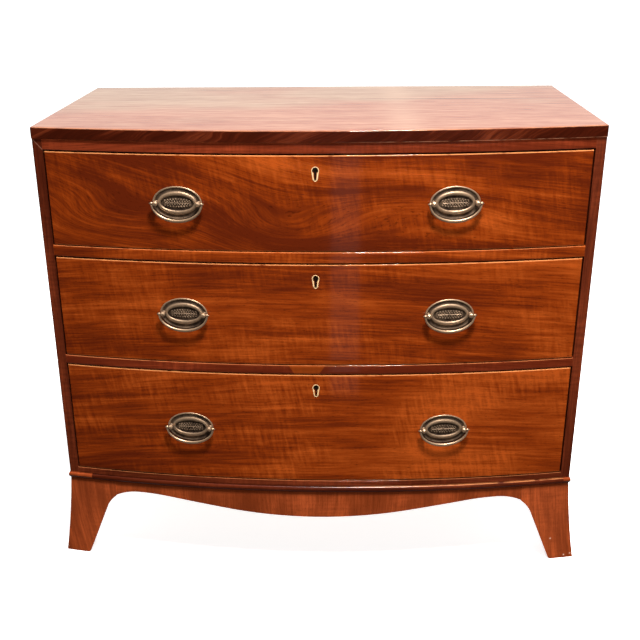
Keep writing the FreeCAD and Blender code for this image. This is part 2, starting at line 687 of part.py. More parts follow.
def make_back_feet():
    side = new_body("back_side_bracket")
    pad(side, "XZ_Plane", "-back", [splayed_profile("foot_face", "+")], "foot_width")
    pocket(side, "YZ_Plane", "foot_face + foot_splay + 1",
           [bracket_waste("back", "-", "back_side_seam - 9")], "foot_thick + 2 * foot_splay")

    back = new_body("back_bracket")
    inner = "foot_inner"
    pad(back, "XZ_Plane", "-back", [[
        (inner, "foot_height", ("splay_radius", LEFT)),
        (f"{inner} + foot_splay", "0"), (f"{inner} + foot_splay - foot_toe", "0"),
        ("foot_inner - foot_back_width", "seam_level"),
        ("foot_inner - foot_back_width", "foot_height"),
    ]], "foot_thick")
    foot = group("back_foot", [side, back])
    node(group("back_foot_pair", [foot, mirrored("back_foot_mirror", foot)]), "back_feet")


def make_aprons():
    body = new_body("front_apron_body")
    outer, inner = "foot_radius", "(foot_radius - foot_thick)"
    half = "foot_seam"
    pad(body, "XY_Plane", "foot_height - apron_centre", [[
        (f"-{half}", at_front(inner, half)), (f"-{half}", at_front(outer, half), (outer, LEFT)),
        (half, at_front(outer, half)), (half, at_front(inner, half), (inner, RIGHT)),
    ]], "apron_centre")
    pocket(body, "XZ_Plane", f"{WASTE} - corner", [apron_waste()], f"{3 * WASTE}")
    node(body, "front_apron")

    side = new_body("side_apron_body")
    low, high = "front_side_seam", "back_side_seam"
    curve = "(side_apron_arch_in ^ 2 + (apron_end - apron_arch) ^ 2) / (2 * (apron_end - apron_arch))"
    arch = "foot_height - apron_arch"
    pad(side, "YZ_Plane", "foot_inner", [[
        (low, "foot_height"), (low, "seam_level", (curve, RIGHT)), (f"{low} + side_apron_arch_in", arch),
        (f"{high} - side_apron_arch_in", arch, (curve, RIGHT)), (high, "seam_level"), (high, "foot_height"),
    ]], "foot_thick")
    node(group("side_apron_set", [side, mirrored("side_apron_mirror", side)]), "side_aprons")


def arc_through(run, rise):
    """Radius of an arc that starts level and rises so much over that run."""
    return f"(({run}) ^ 2 + ({rise}) ^ 2) / (2 * ({rise}))"


def apron_waste():
    """Elevation below the apron's edge: an arch by each foot, and a long drop to the middle."""
    arch_curve = arc_through("apron_arch_in", "apron_end - apron_arch")
    crown_curve = arc_through("apron_rise_in - apron_arch_in", "apron_rise - apron_arch")
    drop_curve = arc_through("foot_seam - apron_dip_in", "apron_centre - apron_dip")
    edge = [("foot_seam", "apron_end"), ("foot_seam - apron_arch_in", "apron_arch"),
            ("foot_seam - apron_rise_in", "apron_rise"), ("foot_seam - apron_dip_in", "apron_dip")]
    bends = [(arch_curve, RIGHT), (crown_curve, RIGHT), None, (drop_curve, LEFT), None, (crown_curve, RIGHT),
             (arch_curve, RIGHT), None, None]
    left = [(f"-({x})", f"foot_height - {depth}") for x, depth in edge]
    right = [(x, f"foot_height - {depth}") for x, depth in reversed(edge)]
    below = f"foot_height - apron_centre - {WASTE}"
    corners = left + right + [("foot_seam", below), ("-foot_seam", below)]
    return [corner + (bend,) if bend else corner for corner, bend in zip(corners, bends + [None])]


def make_glue_blocks():
    """Upright triangular blocks in the corners behind the feet, up to the carcase bottom."""
    inner_arc = "(foot_radius - foot_thick)"
    corners = {
        "front": [("foot_inner", at_front(inner_arc, "foot_inner")),
                  ("foot_inner", f"{at_front(inner_arc, 'foot_inner')} + block_leg"),
                  ("foot_inner - block_leg", at_front(inner_arc, "foot_inner - block_leg"))],
        "back": [("foot_inner", "back - foot_thick"), ("foot_inner - block_leg", "back - foot_thick"),
                 ("foot_inner", "back - foot_thick - block_leg")],
    }
    blocks = []
    for name, corner in corners.items():
        body = new_body(f"{name}_block")
        pad(body, "XY_Plane", "block_rise", [corner], "base_level - block_rise")
        blocks += [body, mirrored(f"{name}_block_mirror", body)]
    node(group("block_set", blocks), "glue_blocks")


# ---- drawers

def tail(tip, root, low, pitch):
    """One dovetail in side view: wide at its tip and narrower at its root."""
    slack = f"dovetail_slope * abs(({tip}) - ({root}))"
    high = f"{low} + {pitch} - pin_width"
    return [(tip, low), (tip, high), (root, f"{high} - {slack}"), (root, f"{low} + {slack}")]


def tail_row(low, high, count):
    """Where a row of dovetails starts between two levels, and its pitch."""
    return f"({low} + half_pin)", f"(({high} - ({low}) - 2 * half_pin + pin_width) / {count})"


def dovetail_sockets(body, socket, pitch, count):
    """Cuts a row of sockets into both ends of a piece."""
    for _, side in SIDES:
        face = f"{side} * drawer_half"
        first = pocket(body, "YZ_Plane", face, [socket], "drawer_side_thick", flipped=side < 0)
        pattern_up(body, first, pitch, count)


def drawer_levels(drawer):
    return {
        "base": f"(floor_{drawer} + running_gap)",
        "front": f"drawer_{drawer}",
        "front_top": f"(drawer_{drawer} + drawer_{drawer}_height)",
        "side_top": f"(drawer_{drawer} + drawer_{drawer}_height - drawer_side_drop)",
        "back_top": f"(drawer_{drawer} + drawer_{drawer}_height - drawer_side_drop - drawer_back_drop)",
        "bottom": f"(floor_{drawer} + running_gap + bottom_raise)",
        "inside": f"(floor_{drawer} + running_gap + bottom_raise + bottom_thick)",
    }


def make_drawer_side(drawer, z):
    """Side with lapped tails for the front, sockets for the pins of the back, and the bottom's groove."""
    body = new_body(f"drawer_{drawer}_side_body")
    pad(body, "YZ_Plane", "box_half", [rectangle(("front_inner", "drawer_back"), (z["base"], z["side_top"]))],
        "drawer_side_thick")
    start, pitch = tail_row(z["front"], z["side_top"], DRAWERS[drawer])
    tip = "(front_inner - dovetail_length)"
    first = pad(body, "YZ_Plane", "box_half", [tail(tip, "front_inner", start, pitch)], "drawer_side_thick")
    pattern_up(body, first, pitch, DRAWERS[drawer])

    start, pitch = tail_row(z["inside"], z["back_top"], DRAWERS[drawer])
    root, slack = "drawer_back_inner", "dovetail_slope * drawer_back_thick"
    low, high = f"{start} + {pitch} - pin_width", f"{start} + {pitch}"
    pin = [("drawer_back", low), ("drawer_back", high), (root, f"{high} + {slack}"),
           (root, f"{low} - {slack}")]
    first = pocket(body, "YZ_Plane", "drawer_half", [pin], "drawer_side_thick")
    pattern_up(body, first, pitch, DRAWERS[drawer] - 1)
    ends = [
        [("drawer_back", z["inside"]), ("drawer_back", start), (root, f"{start} + {slack}"),
         (root, z["inside"])],
        [("drawer_back", f"{z['back_top']} - half_pin"), ("drawer_back", z["back_top"]),
         (root, z["back_top"]), (root, f"{z['back_top']} - half_pin - {slack}")],
    ]
    pocket(body, "YZ_Plane", "drawer_half", ends, "drawer_side_thick")
    groove = rectangle(("front_inner", "drawer_back"), (z["bottom"], z["inside"]))
    pocket(body, "YZ_Plane", "box_half", [groove], "bottom_groove", flipped=True)
    both_sides(f"drawer_{drawer}_side", body)


def make_drawer_front(drawer, z, drills):
    body = new_body(f"drawer_{drawer}_front_body")
    face = at_front("drawer_radius", "drawer_half")
    pad(body, "XY_Plane", z["front"], [[
        ("-drawer_half", "front_inner"),
        ("-drawer_half", face, ("drawer_radius", LEFT)), ("drawer_half", face),
        ("drawer_half", "front_inner"), ("box_half", "front_inner", ("front_inner_radius", RIGHT)),
        ("-box_half", "front_inner"),
    ]], f"drawer_{drawer}_height")
    limit = number(face) + 0.5
    ease(body, "drawer_front_arris", lambda box: box.YMax < limit)
    depth = "(front_inner_radius + bottom_groove)"
    pocket(body, "XY_Plane", z["bottom"], [[
        ("-box_half", "front_inner"), ("-box_half", at_front(depth, "box_half"), (depth, LEFT)),
        ("box_half", at_front(depth, "box_half")), ("box_half", "front_inner"),
    ]], "bottom_thick", flipped=True)
    start, pitch = tail_row(z["front"], z["side_top"], DRAWERS[drawer])
    socket = tail("(front_inner - dovetail_length)", "front_inner", start, pitch)
    dovetail_sockets(body, socket, pitch, DRAWERS[drawer])
    seats = [moved(f"lock_seat_{drawer}", LOCK["seat"], z=z["front_top"]),
             moved(f"keyway_{drawer}", LOCK["keyway"], z=f"{z['front_top']} - escutcheon_drop"),
             moved(f"inlay_seat_{drawer}", LOCK["inlay_seat"], z=f"{z['front_top']} - escutcheon_drop")]
    node(cut(f"drawer_{drawer}_front_cut", body, seats + drills), f"drawer_{drawer}_front")


def make_drawer_box(drawer, z):
    make_drawer_side(drawer, z)

    body = new_body(f"drawer_{drawer}_back_body")
    plan = rectangle(across("drawer_half"), ("drawer_back_inner", "drawer_back"))
    pad(body, "XY_Plane", z["inside"], [plan], f"{z['back_top']} - {z['inside']}")
    start, pitch = tail_row(z["inside"], z["back_top"], DRAWERS[drawer])
    socket = tail("drawer_back", "drawer_back_inner", start, pitch)
    dovetail_sockets(body, socket, pitch, DRAWERS[drawer])
    node(body, f"drawer_{drawer}_back")

    body = new_body(f"drawer_{drawer}_bottom_body")
    reach = "(front_inner_radius + bottom_groove - bottom_play)"
    narrow, wide = "(box_half - bottom_play)", "(box_half + bottom_groove - bottom_play)"
    step = "front_inner + bottom_play"
    pad(body, "XY_Plane", z["bottom"], [[
        (f"-{wide}", "drawer_back"), (f"-{wide}", step), (f"-{narrow}", step),
        (f"-{narrow}", at_front(reach, narrow), (reach, LEFT)), (narrow, at_front(reach, narrow)),
        (narrow, step), (wide, step), (wide, "drawer_back"),
    ]], "bottom_thick")
    node(body, f"drawer_{drawer}_bottom")


# ---- lock and escutcheon, made at the top of a drawer front or round the middle of the escutcheon

LOCK = {}


def flats(radius, level, first, last):
    """Right half of a small round, as flats upwards from one angle to another."""
    turns = [f"({first}) + (({last}) - ({first})) * {step / ROUND_STEPS}" for step in range(ROUND_STEPS + 1)]
    return [(f"{radius} * cos({turn})", f"{level} + {radius} * sin({turn})") for turn in turns]


def flipped_over(points):
    """The same corners on the left side, downwards."""
    return [(f"-({x})", y) for x, y in reversed(points)]


def teardrop(top, top_radius, low, low_radius):
    """Round head on a narrower round foot, with straight flanks that touch both."""
    flank = f"-asin(({top_radius} - {low_radius}) / ({top} - ({low})))"
    right = flats(low_radius, low, "-90 deg", flank) + flats(top_radius, top, flank, "90 deg")
    return right + flipped_over(right[1:-1])


def keyhole():
    top = "(escutcheon_height / 2 - escutcheon_radius)"
    foot = ("keyhole_foot", "keyhole_border - escutcheon_height / 2")
    right = [foot] + flats("keyhole_radius", top, "-acos(keyhole_neck / keyhole_radius)", "90 deg")
    return right + flipped_over(right[:-1])


def make_lock_parts():
    outline = teardrop("(escutcheon_height / 2 - escutcheon_radius)", "escutcheon_radius",
                       "(escutcheon_foot_radius - escutcheon_height / 2)", "escutcheon_foot_radius")
    inlay_back = "-(drawer_face + escutcheon_thick)"
    inlay = new_body("inlay")
    pad(inlay, "XZ_Plane", inlay_back, [outline, keyhole()], "escutcheon_thick")
    seat = new_body("inlay_seat")
    pad(seat, "XZ_Plane", inlay_back, [outline], "escutcheon_thick + 1")
    keyway = new_body("keyway")
    pad(keyway, "XZ_Plane", "-lock_front", [keyhole()], "lock_front - drawer_face")

    half = "lock_width / 2"
    block = board("lock_block", across(half), ("lock_front", "lock_back"), ("-lock_height", "0"))
    bolt_y = ("bolt_middle - bolt_thick / 2", "bolt_middle + bolt_thick / 2")
    well = board("bolt_well", across("bolt_width / 2 + bolt_play"),
                 (f"{bolt_y[0]} - bolt_play", f"{bolt_y[1]} + bolt_play"), ("-bolt_height - bolt_play", "0"))
    pin = many_sided("drill_pin", POST_SIDES, (("drill_pin_radius", "-1"),
                     ("drill_pin_radius", "lock_front - drawer_face - drill_pin_set_back")))
    pin.Placement = FreeCAD.Placement(FreeCAD.Vector(), OUTWARDS)
    pin.setExpression("Placement.Base.y", expr("lock_front"))
    pin.setExpression("Placement.Base.z", expr("escutcheon_height / 2 - escutcheon_radius - escutcheon_drop"))
    LOCK["case"] = fuse("lock_with_pin", [cut("lock_case", block, [well]), pin])
    LOCK["bolt"] = board("bolt", across("bolt_width / 2"), bolt_y, ("-bolt_height", "0"))
    LOCK["seat"] = board("lock_seat", across(half), ("lock_front", "front_inner"), ("-lock_height", "0"))
    LOCK["inlay"] = inlay
    LOCK["inlay_seat"] = seat
    LOCK["keyway"] = keyway


def place_lock(drawer, z):
    for source, name, drop in (("case", "lock", "0"), ("bolt", "lock_bolt", "0"),
                               ("inlay", "escutcheon", "escutcheon_drop")):
        placed = moved(f"drawer_{drawer}_{name}_placed", LOCK[source], z=f"{z['front_top']} - {drop}")
        node(placed, f"drawer_{drawer}_{name}")


# ---- handles, made with the drawer face in the XZ plane, outwards along -Y and the pivot line at Z = 0

HANDLE = {}


def oval(half_width, half_height, turn):
    """Corners of an oval of flats, from the right end on: round its upper half (1) or its lower half (-1)."""
    angles = [turn * 360 * step / OVAL_STEPS for step in range(OVAL_STEPS // 2 + 1)]
    return [(f"{half_width} * cos({angle})", f"{half_height} * sin({angle})") for angle in angles]


def make_plate():
    """Oval plate with a raised middle and a hole for each post."""
    body = new_body("plate")
    half = "(post_shank / 2 + post_clearance)"
    centres = [f"{side} * post_spacing / 2" for _, side in SIDES]
    holes = [rectangle((f"{centre} - {half}", f"{centre} + {half}"), across(half)) for centre in centres]
    edge, middle = ([f"(plate_{side} / 2 - {border})" for side in ("width", "height")]
                    for border in ("0", "plate_field"))
    outlines = [oval(*size, 1) + oval(*size, -1)[-2:0:-1] for size in (edge, middle)]
    pad(body, "XZ_Plane", "plate_seat", [outlines[0]] + holes, "plate_thick")
    pad(body, "XZ_Plane", "plate_seat + plate_thick", [outlines[1]], "plate_rise")
    return body


def make_pin(name, start, end):
    """Round pin along X on the pivot line of a handle."""
    pin = DOC.addObject("Part::Cylinder", name)
    pin.Placement = FreeCAD.Placement(FreeCAD.Vector(), ALONG_X)
    pin.setExpression("Radius", expr("bail_pin_radius"))
    pin.setExpression("Height", expr(f"({end}) - ({start})"))
    pin.setExpression("Placement.Base.x", expr(start))
    pin.setExpression("Placement.Base.y", expr("-pivot_reach"))
    return pin


def make_bore():
    """What the pin takes from a post: flats that stay clear of the round pin all round."""
    radius = f"(bail_pin_radius + bail_pin_clearance) / cos({180 / POST_SIDES})"
    bore = group("post_bore", [many_sided("bore_bar", POST_SIDES, (
        (radius, "-post_head_radius - 1"), (radius, "post_head_radius + 1")))])
    bore.Placement = FreeCAD.Placement(FreeCAD.Vector(), ALONG_X)
    bore.setExpression("Placement.Base.y", expr("-pivot_reach"))
    return bore


def make_post():
    """Post with a square shank and nut, and a turned foot, waist and head bored for the pin of the bail."""
    base = "plate_seat + plate_thick"
    half = "post_shank / 2"
    nut_end = "nut_face + nut_thick"
    turned = many_sided("post_turned", POST_SIDES, (
        ("post_foot_radius", base), ("post_waist_radius", "post_waist"),
        ("post_head_radius", "pivot_reach - post_head_band / 2"),
        ("post_head_radius", "pivot_reach + post_head_band / 2"), ("post_tip_radius", "post_length"),
    ))
    turned.Placement = FreeCAD.Placement(FreeCAD.Vector(), OUTWARDS)
    shank = board("post_shank_bar", across(half), (f"-({base})", nut_end), across(half))
    nut = board("nut", across("nut_width / 2"), ("nut_face", nut_end), across("nut_width / 2"))
    return cut("post", fuse("post_whole", [turned, shank, nut]), [make_bore()])


def make_bail():
    """Half-oval drop handle, thicker at its belly, with an inward pin at the end of each leg."""
    body = new_body("bail_body")
    inner = [f"(plate_{side} / 2 - bail_lap)" for side in ("width", "height")]
    outer = (f"({inner[0]} + bail_leg)", f"({inner[1]} + bail_belly)")
    section = oval(*outer, -1) + oval(*inner, -1)[::-1]
    pad(body, "XZ_Plane", "pivot_reach - bail_thick / 2", [section], "bail_thick")
    pin = make_pin("bail_pin", f"{inner[0]} - bail_pin_length", f"{inner[0]} + bail_leg / 2")
    return fuse("bail_whole", [body, pin, mirrored("bail_pin_mirror", pin)])


def make_drill():
    """What the shank of a post takes from the drawer front."""
    half = "post_shank / 2 + post_clearance"
    return board("post_hole", across(half), ("-drawer_front_thick", "2 * drawer_front_thick"), across(half))


def make_handle_parts():
    HANDLE["plate"] = make_plate()
    HANDLE["bail"] = make_bail()
    for key, source in (("posts", make_post()), ("drills", make_drill())):
        pair = [moved(f"{key}_{name}", source, x=f"{side} * post_spacing / 2") for name, side in SIDES]
        HANDLE[key] = group(key, pair)


def on_drawer(key, name, drawer, side):
    """A part of a handle, carried to its place on the bowed face of a drawer."""
    return moved(f"drawer_{drawer}_{key}_{name}", HANDLE[key], x=f"{side} * handle_half", y="handle_face",
                 z=f"drawer_{drawer} + handle_{drawer}_rise", turn=f"{side} * handle_turn")


def place_handles(drawer):
    for key in ("plate", "posts"):
        pair = [on_drawer(key, name, drawer, side) for name, side in SIDES]
        label = {"plate": "handle_plates", "posts": "handle_posts"}[key]
        node(group(f"drawer_{drawer}_{key}", pair), f"drawer_{drawer}_{label}")
    for name, side in SIDES:
        node(on_drawer("bail", name, drawer, side), f"drawer_{drawer}_bail_{name}")


def make_drawers():
    make_lock_parts()
    make_handle_parts()
    for drawer in DRAWERS:
        z = drawer_levels(drawer)
        drills = [on_drawer("drills", name, drawer, side) for name, side in SIDES]
        make_drawer_front(drawer, z, drills)
        make_drawer_box(drawer, z)
        place_lock(drawer, z)
        place_handles(drawer)


# ---- check and export

def check_and_export():
    DOC.recompute()
    failed = [item.Name for item in DOC.Objects if "Invalid" in item.State or "Error" in item.State]
    if failed:
        raise RuntimeError("failed objects: " + ", ".join(failed))
    for item in NODES:
        if item.Shape.isNull() or not item.Shape.isValid() or not item.Shape.Solids:
            raise RuntimeError("bad shape: " + item.Label)
    os.makedirs("parts", exist_ok=True)
    for item in NODES:
        item.Shape.exportStep(os.path.join("parts", item.Label + ".step"))
    print(len(NODES), "nodes,", sum(len(item.Shape.Solids) for item in NODES), "solids")


fill_sheets()
make_top()
make_sides()
make_rails()
make_carcase_inside()
make_moulding()
make_front_feet()
make_back_feet()
make_aprons()
make_glue_blocks()
make_drawers()
check_and_export()
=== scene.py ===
import json
import math

import bmesh
import bpy
import numpy as np
from mathutils import Matrix, Vector


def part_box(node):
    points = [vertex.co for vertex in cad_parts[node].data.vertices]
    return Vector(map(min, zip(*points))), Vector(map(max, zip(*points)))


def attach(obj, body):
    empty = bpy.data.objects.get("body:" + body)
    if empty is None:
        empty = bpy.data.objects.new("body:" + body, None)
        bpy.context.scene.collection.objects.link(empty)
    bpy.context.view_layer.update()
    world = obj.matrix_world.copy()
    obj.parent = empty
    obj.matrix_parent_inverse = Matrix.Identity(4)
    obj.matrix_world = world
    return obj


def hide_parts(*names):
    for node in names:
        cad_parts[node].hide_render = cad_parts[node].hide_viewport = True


bl_info = {
    "name": "Bow front chest of drawers",
    "version": (1, 0, 0),
    "blender": (4, 5, 0),
    "location": "3D View > Sidebar > Chest",
    "description": "Builds the polished wood, the brass and the bone of a bow front chest over its frame",
    "category": "Object",
}

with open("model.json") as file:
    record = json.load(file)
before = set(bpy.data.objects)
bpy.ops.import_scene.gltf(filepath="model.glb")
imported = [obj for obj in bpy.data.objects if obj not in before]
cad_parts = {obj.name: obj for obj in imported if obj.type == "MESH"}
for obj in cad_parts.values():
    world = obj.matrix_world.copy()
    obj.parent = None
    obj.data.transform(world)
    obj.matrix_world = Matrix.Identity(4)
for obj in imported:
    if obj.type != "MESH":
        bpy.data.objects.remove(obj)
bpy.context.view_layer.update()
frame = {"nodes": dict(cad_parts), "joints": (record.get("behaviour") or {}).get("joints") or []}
BOX = {name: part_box(name) for name in frame["nodes"]}
JOINT = {joint["name"]: joint for joint in frame["joints"]}
DRAWERS = ("drawer_1", "drawer_2", "drawer_3")
SIDES = ("left", "right")
RAILS = ("top_rail", "divider_1", "divider_2", "base_rail")
CARCASE = "carcase"
HALF_WIDTH = BOX["side_right"][1].x
MM = 1e-3


# Property helpers

def length(name, value, description):
    """A length in metres."""
    return bpy.props.FloatProperty(name=name, description=description, default=value, min=0.0,
                                   precision=5, unit="LENGTH")


def factor(name, value, description):
    """A share from nought to one."""
    return bpy.props.FloatProperty(name=name, description=description, default=value, min=0.0, max=1.0,
                                   subtype="FACTOR")


def amount(name, value, description):
    """A plain number, such as a light's strength."""
    return bpy.props.FloatProperty(name=name, description=description, default=value, min=0.0)


def colour(name, value, description):
    """A linear colour."""
    return bpy.props.FloatVectorProperty(name=name, description=description, default=value, size=3,
                                         min=0.0, max=1.0, subtype="COLOR")


class ChestSizes(bpy.types.PropertyGroup):
    """Sizes of the pieces that are built over the frame."""

    bow: length("Bow", 0.05, "How far the middle of the front stands before its corners")
    stile_depth: length("Stile depth", 0.022, "Depth of a stile at the outer corner")
    top_overhang: length("Top overhang", 0.002, "How far the top stands before the rail under it")
    top_arris: length("Top arris", 0.0022, "Radius of the worn upper edge of the top")
    drawer_recess: length("Drawer recess", 0.001, "How far the drawers stand behind the rails")
    veneer: length("Veneer", 0.0022, "Thickness of the polished face of a drawer")
    veneer_proud: length("Veneer proud", 0.00015, "How far that face stands before the board")
    drawer_arris: length("Drawer arris", 0.0016, "Radius of the worn edges of a drawer front")
    rail_facing: length("Rail facing", 0.0016, "Thickness of the facings of the rails")
    rail_arris: length("Rail arris", 0.0013, "Radius of the worn edges of the rails")
    bead_reach: length("Moulding reach", 0.0033, "How far the base moulding stands out")
    bead_back: length("Moulding back", 0.006, "How far the base moulding is let into the case")
    pivot_reach: length("Pivot reach", 0.008, "Distance of a handle's pivot line from the drawer")
    post_spacing: length("Post spacing", 0.0762, "Distance between the two posts of a handle")
    plate_width: length("Plate width", 0.089, "Width of the oval plate of a handle")
    plate_height: length("Plate height", 0.059, "Height of the oval plate of a handle")
    bail_lap: length("Bail lap", 0.0015, "How far the bail hangs before the rim of the plate")
    bail_leg: length("Bail leg", 0.0036, "Width of the bail at its legs")
    bail_belly: length("Bail belly", 0.0058, "Width of the bail at its lowest point")
    bail_thick: length("Bail thickness", 0.0046, "Thickness of the bail from front to back")
    post_head: length("Post head", 0.0047, "Radius of the round head of a post")
    seed: length("Seed relief", 0.0014, "Height of the pressed seeds on a plate")


class ChestFinish(bpy.types.PropertyGroup):
    """Colours and polish."""

    wood_light: colour("Light wood", (0.275, 0.046, 0.0055), "Lightest streaks of the drawers")
    wood_mid: colour("Middle wood", (0.185, 0.0252, 0.0024), "Main tone of the drawers")
    wood_dark: colour("Dark wood", (0.086, 0.0105, 0.0020), "Darkest figure of the drawers")
    case_light: colour("Case light", (0.21, 0.032, 0.0095), "Lighter tone of the rails and sides")
    case_dark: colour("Case dark", (0.085, 0.0112, 0.0032), "Darker tone of the rails and sides")
    stile_light: colour("Stile light", (0.125, 0.021, 0.0065), "Lighter tone of the stiles")
    stile_dark: colour("Stile dark", (0.045, 0.0065, 0.002), "Darker tone of the stiles")
    base_light: colour("Base light", (0.32, 0.058, 0.014), "Lighter tone of the feet and apron")
    base_dark: colour("Base dark", (0.145, 0.0245, 0.0057), "Darker tone of the feet and apron")
    # The top's tones are paler and greyer than its wood, partly as painted sheen of the polish; the two faded
    # tones most of all.
    top_light: colour("Top light", (0.262, 0.124, 0.077), "Lighter tone of the top")
    top_dark: colour("Top dark", (0.165, 0.052, 0.031), "Darker tone of the top")
    top_sheen: colour("Top faded", (0.265, 0.168, 0.108), "Lighter tone where the sun has bleached the top")
    top_sheen_dark: colour("Top faded dark", (0.18, 0.093, 0.057), "Darker tone where the top is bleached")
    pine_light: colour("Inner wood light", (0.50, 0.31, 0.16), "Lighter tone of the inner boards")
    pine_dark: colour("Inner wood dark", (0.27, 0.145, 0.065), "Darker tone of the inner boards")
    brass_light: colour("Bright brass", (0.45, 0.29, 0.175), "Rubbed brass on the high places")
    brass_dark: colour("Dull brass", (0.030, 0.016, 0.010), "Tarnish in the hollows")
    bone_light: colour("Bone", (0.74, 0.46, 0.22), "The inlays round the keyholes")
    iron: colour("Iron", (0.065, 0.050, 0.040), "The locks")
    polish: factor("Polish", 0.75, "Weight of the clear polish over the wood")
    polish_roughness: factor("Polish roughness", 0.07, "Roughness of that polish")


class ChestStage(bpy.types.PropertyGroup):
    """Camera, lights and floor."""

    lens: bpy.props.FloatProperty(name="Lens", description="Focal length of the camera", default=56.27,
                                  unit="CAMERA")
    key_power: amount("Key light", 225.0, "Power of the large lamp above the front, in watts")
    fill_power: amount("Fill light", 66.0, "Power of the broad lamp behind the camera, in watts")
    streak_power: amount("Streak light", 0.25, "Power of the narrow lamp mirrored in the polish, in watts")
    front_level: factor("Front level", 0.01, "Brightness of the room before the chest")
    back_level: amount("Back level", 1.15, "Brightness of the room behind the chest")
    floor_glow: factor("Floor glow", 0.75, "How much the pale floor is lifted towards white")


# Shapes: whole arrays of points, in metres

def bow_arc():
    """Radius and centre line of the front: the arc whose rise over the width of the case is the bow."""
    sizes = bpy.context.scene.chest_sizes
    radius = (sizes.bow ** 2 + HALF_WIDTH ** 2) / (2 * sizes.bow)
    corner = BOX["stile_right"][1].y - sizes.stile_depth
    return radius, corner - sizes.bow + radius


def front_y(x, out=0.0):
    """The y of the front at x, moved outwards.

    It is the centre line less the square root of (radius + out) squared less x squared.
    """
    radius, centre = bow_arc()
    return centre - np.sqrt((radius + out) ** 2 - np.square(x))


def bowed(x, z, proud, depth):
    """Points on the bow of the front at x and z, brought forward by proud and put back by depth."""
    return np.stack([x, front_y(x) - proud + depth, z], axis=-1)


def ellipse(wide, high, angle):
    """Points of an ellipse: wide times the cosine and high times the sine."""
    return np.stack([wide * np.cos(angle), high * np.sin(angle)], axis=-1)


def grid_faces(rows, columns, wrap=False):
    """Squares of a grid stored row by row; wrap joins its last column to its first."""
    row = np.arange(rows - 1)[:, None] * columns
    column = np.arange(columns if wrap else columns - 1)[None, :]
    after = (column + 1) % columns
    return np.stack([row + column, row + after, row + columns + after, row + columns + column],
                    axis=-1).reshape(-1, 4)


def sheet(points, wrap=False):
    """Points and faces of one grid of points, shaped rows by columns by three."""
    return points.reshape(-1, 3), grid_faces(points.shape[0], points.shape[1], wrap)


def rim_of(block):
    """The outer entries of a two-way table, walked once round."""
    return np.concatenate([block[0, :-1], block[:-1, -1], block[-1, :0:-1], block[:0:-1, 0]])


def slab(front, back):
    """A closed board: a front and a back grid of one shape, and a wall between their borders."""
    rows, columns = front.shape[:2]
    count = rows * columns
    border = rim_of(np.arange(count).reshape(rows, columns))
    after = np.roll(border, -1)
    wall = np.stack([border, after, after + count, border + count], axis=-1)
    faces = grid_faces(rows, columns)
    return (np.concatenate([front.reshape(-1, 3), back.reshape(-1, 3)]),
            np.concatenate([faces, faces[:, ::-1] + count, wall]))


def eased_rectangle(across, up, radius, steps=5):
    """Offsets over a rectangle whose rim rolls back in a quarter round: s, t, depth and wear.

    across and up hold the evenly or freely spread places inside the rim. In the rim the unit square (a, b)
    goes to a quarter disc, a * sqrt(1 - b^2 / 2) by b * sqrt(1 - a^2 / 2); the depth is
    radius * (1 - sqrt(1 - distance^2)). Wear is 1 where the rim has turned through half a right angle.
    """
    turn = np.sin(np.linspace(0, np.pi / 2, steps + 1))[1:]

    def spread(places):
        core = np.concatenate([np.full(steps, places[0]), places, np.full(steps, places[-1])])
        return core, np.concatenate([-turn[::-1], np.zeros(len(places)), turn])

    (core_s, rim_s), (core_t, rim_t) = spread(across), spread(up)
    a, b = np.meshgrid(rim_s, rim_t)
    x, y = a * np.sqrt(1 - b ** 2 / 2), b * np.sqrt(1 - a ** 2 / 2)
    reach = np.clip(x ** 2 + y ** 2, 0, 1)
    wear = np.clip(4 * reach * (1 - reach), 0, 1)
    depth = radius * (1 - np.sqrt(1 - reach))
    return core_s[None, :] + radius * x, core_t[:, None] + radius * y, depth, wear


def lathe(profile, sides):
    """Turned shape: each (radius, height) carried round the third axis. A radius of 0 closes an end."""
    radius, height = np.array(profile, dtype=float).T
    angle = np.linspace(0, 2 * np.pi, sides, endpoint=False)
    points = np.stack([radius[:, None] * np.cos(angle), radius[:, None] * np.sin(angle),
                       np.repeat(height[:, None], sides, axis=1)], axis=-1)
    return sheet(points, wrap=True)


def swept(profile, path, outward):
    """A closed profile of (out, up) carried along a path of (x, y), with flat ends.

    Each point of the profile stands at path + out * outward, and up is z. Each end is a fan about the middle
    of its ring, stored as squares that name the middle twice.
    """
    out, up = np.array(profile, dtype=float).T
    x = path[:, 0, None] + outward[:, 0, None] * out
    y = path[:, 1, None] + outward[:, 1, None] * out
    points = np.stack([x, y, np.repeat(up[None, :], len(path), axis=0)], axis=-1)
    flat, faces = sheet(points, wrap=True)
    count = len(out)
    ends = []
    for start in (0, len(flat) - count):
        centre = flat[start:start + count].mean(axis=0)
        flat = np.concatenate([flat, centre[None, :]])
        ring = np.arange(start, start + count)
        hub = np.full(count, len(flat) - 1)
        ends.append(np.stack([ring, np.roll(ring, -1), hub, hub], axis=-1))
    return flat, np.concatenate([faces] + ends)


def placed(part, place):
    """Moves points from a handle's axes (across, up, out) into the frame."""
    points, faces = part
    origin, axes = place
    return origin + points @ axes, faces


def handle_place(drawer, side):
    """Middle of a handle on the drawer's face, and its axes across, up and out, from its hinge."""
    joint = JOINT[f"{drawer}_bail_{side}_hinge"]
    across = np.array(joint["axis"]) * (1 if joint["axis"][0] > 0 else -1)
    out = np.array([across[1], -across[0], 0.0])
    pivot = np.array(joint["pos_m"])
    reach = bpy.context.scene.chest_sizes.pivot_reach
    return pivot - out * reach, np.stack([across, np.array([0.0, 0.0, 1.0]), out])


def in_scene(name, data):
    """A new object of that mesh, lamp or camera, in the scene."""
    made = bpy.data.objects.new(name, data)
    bpy.context.scene.collection.objects.link(made)
    return made


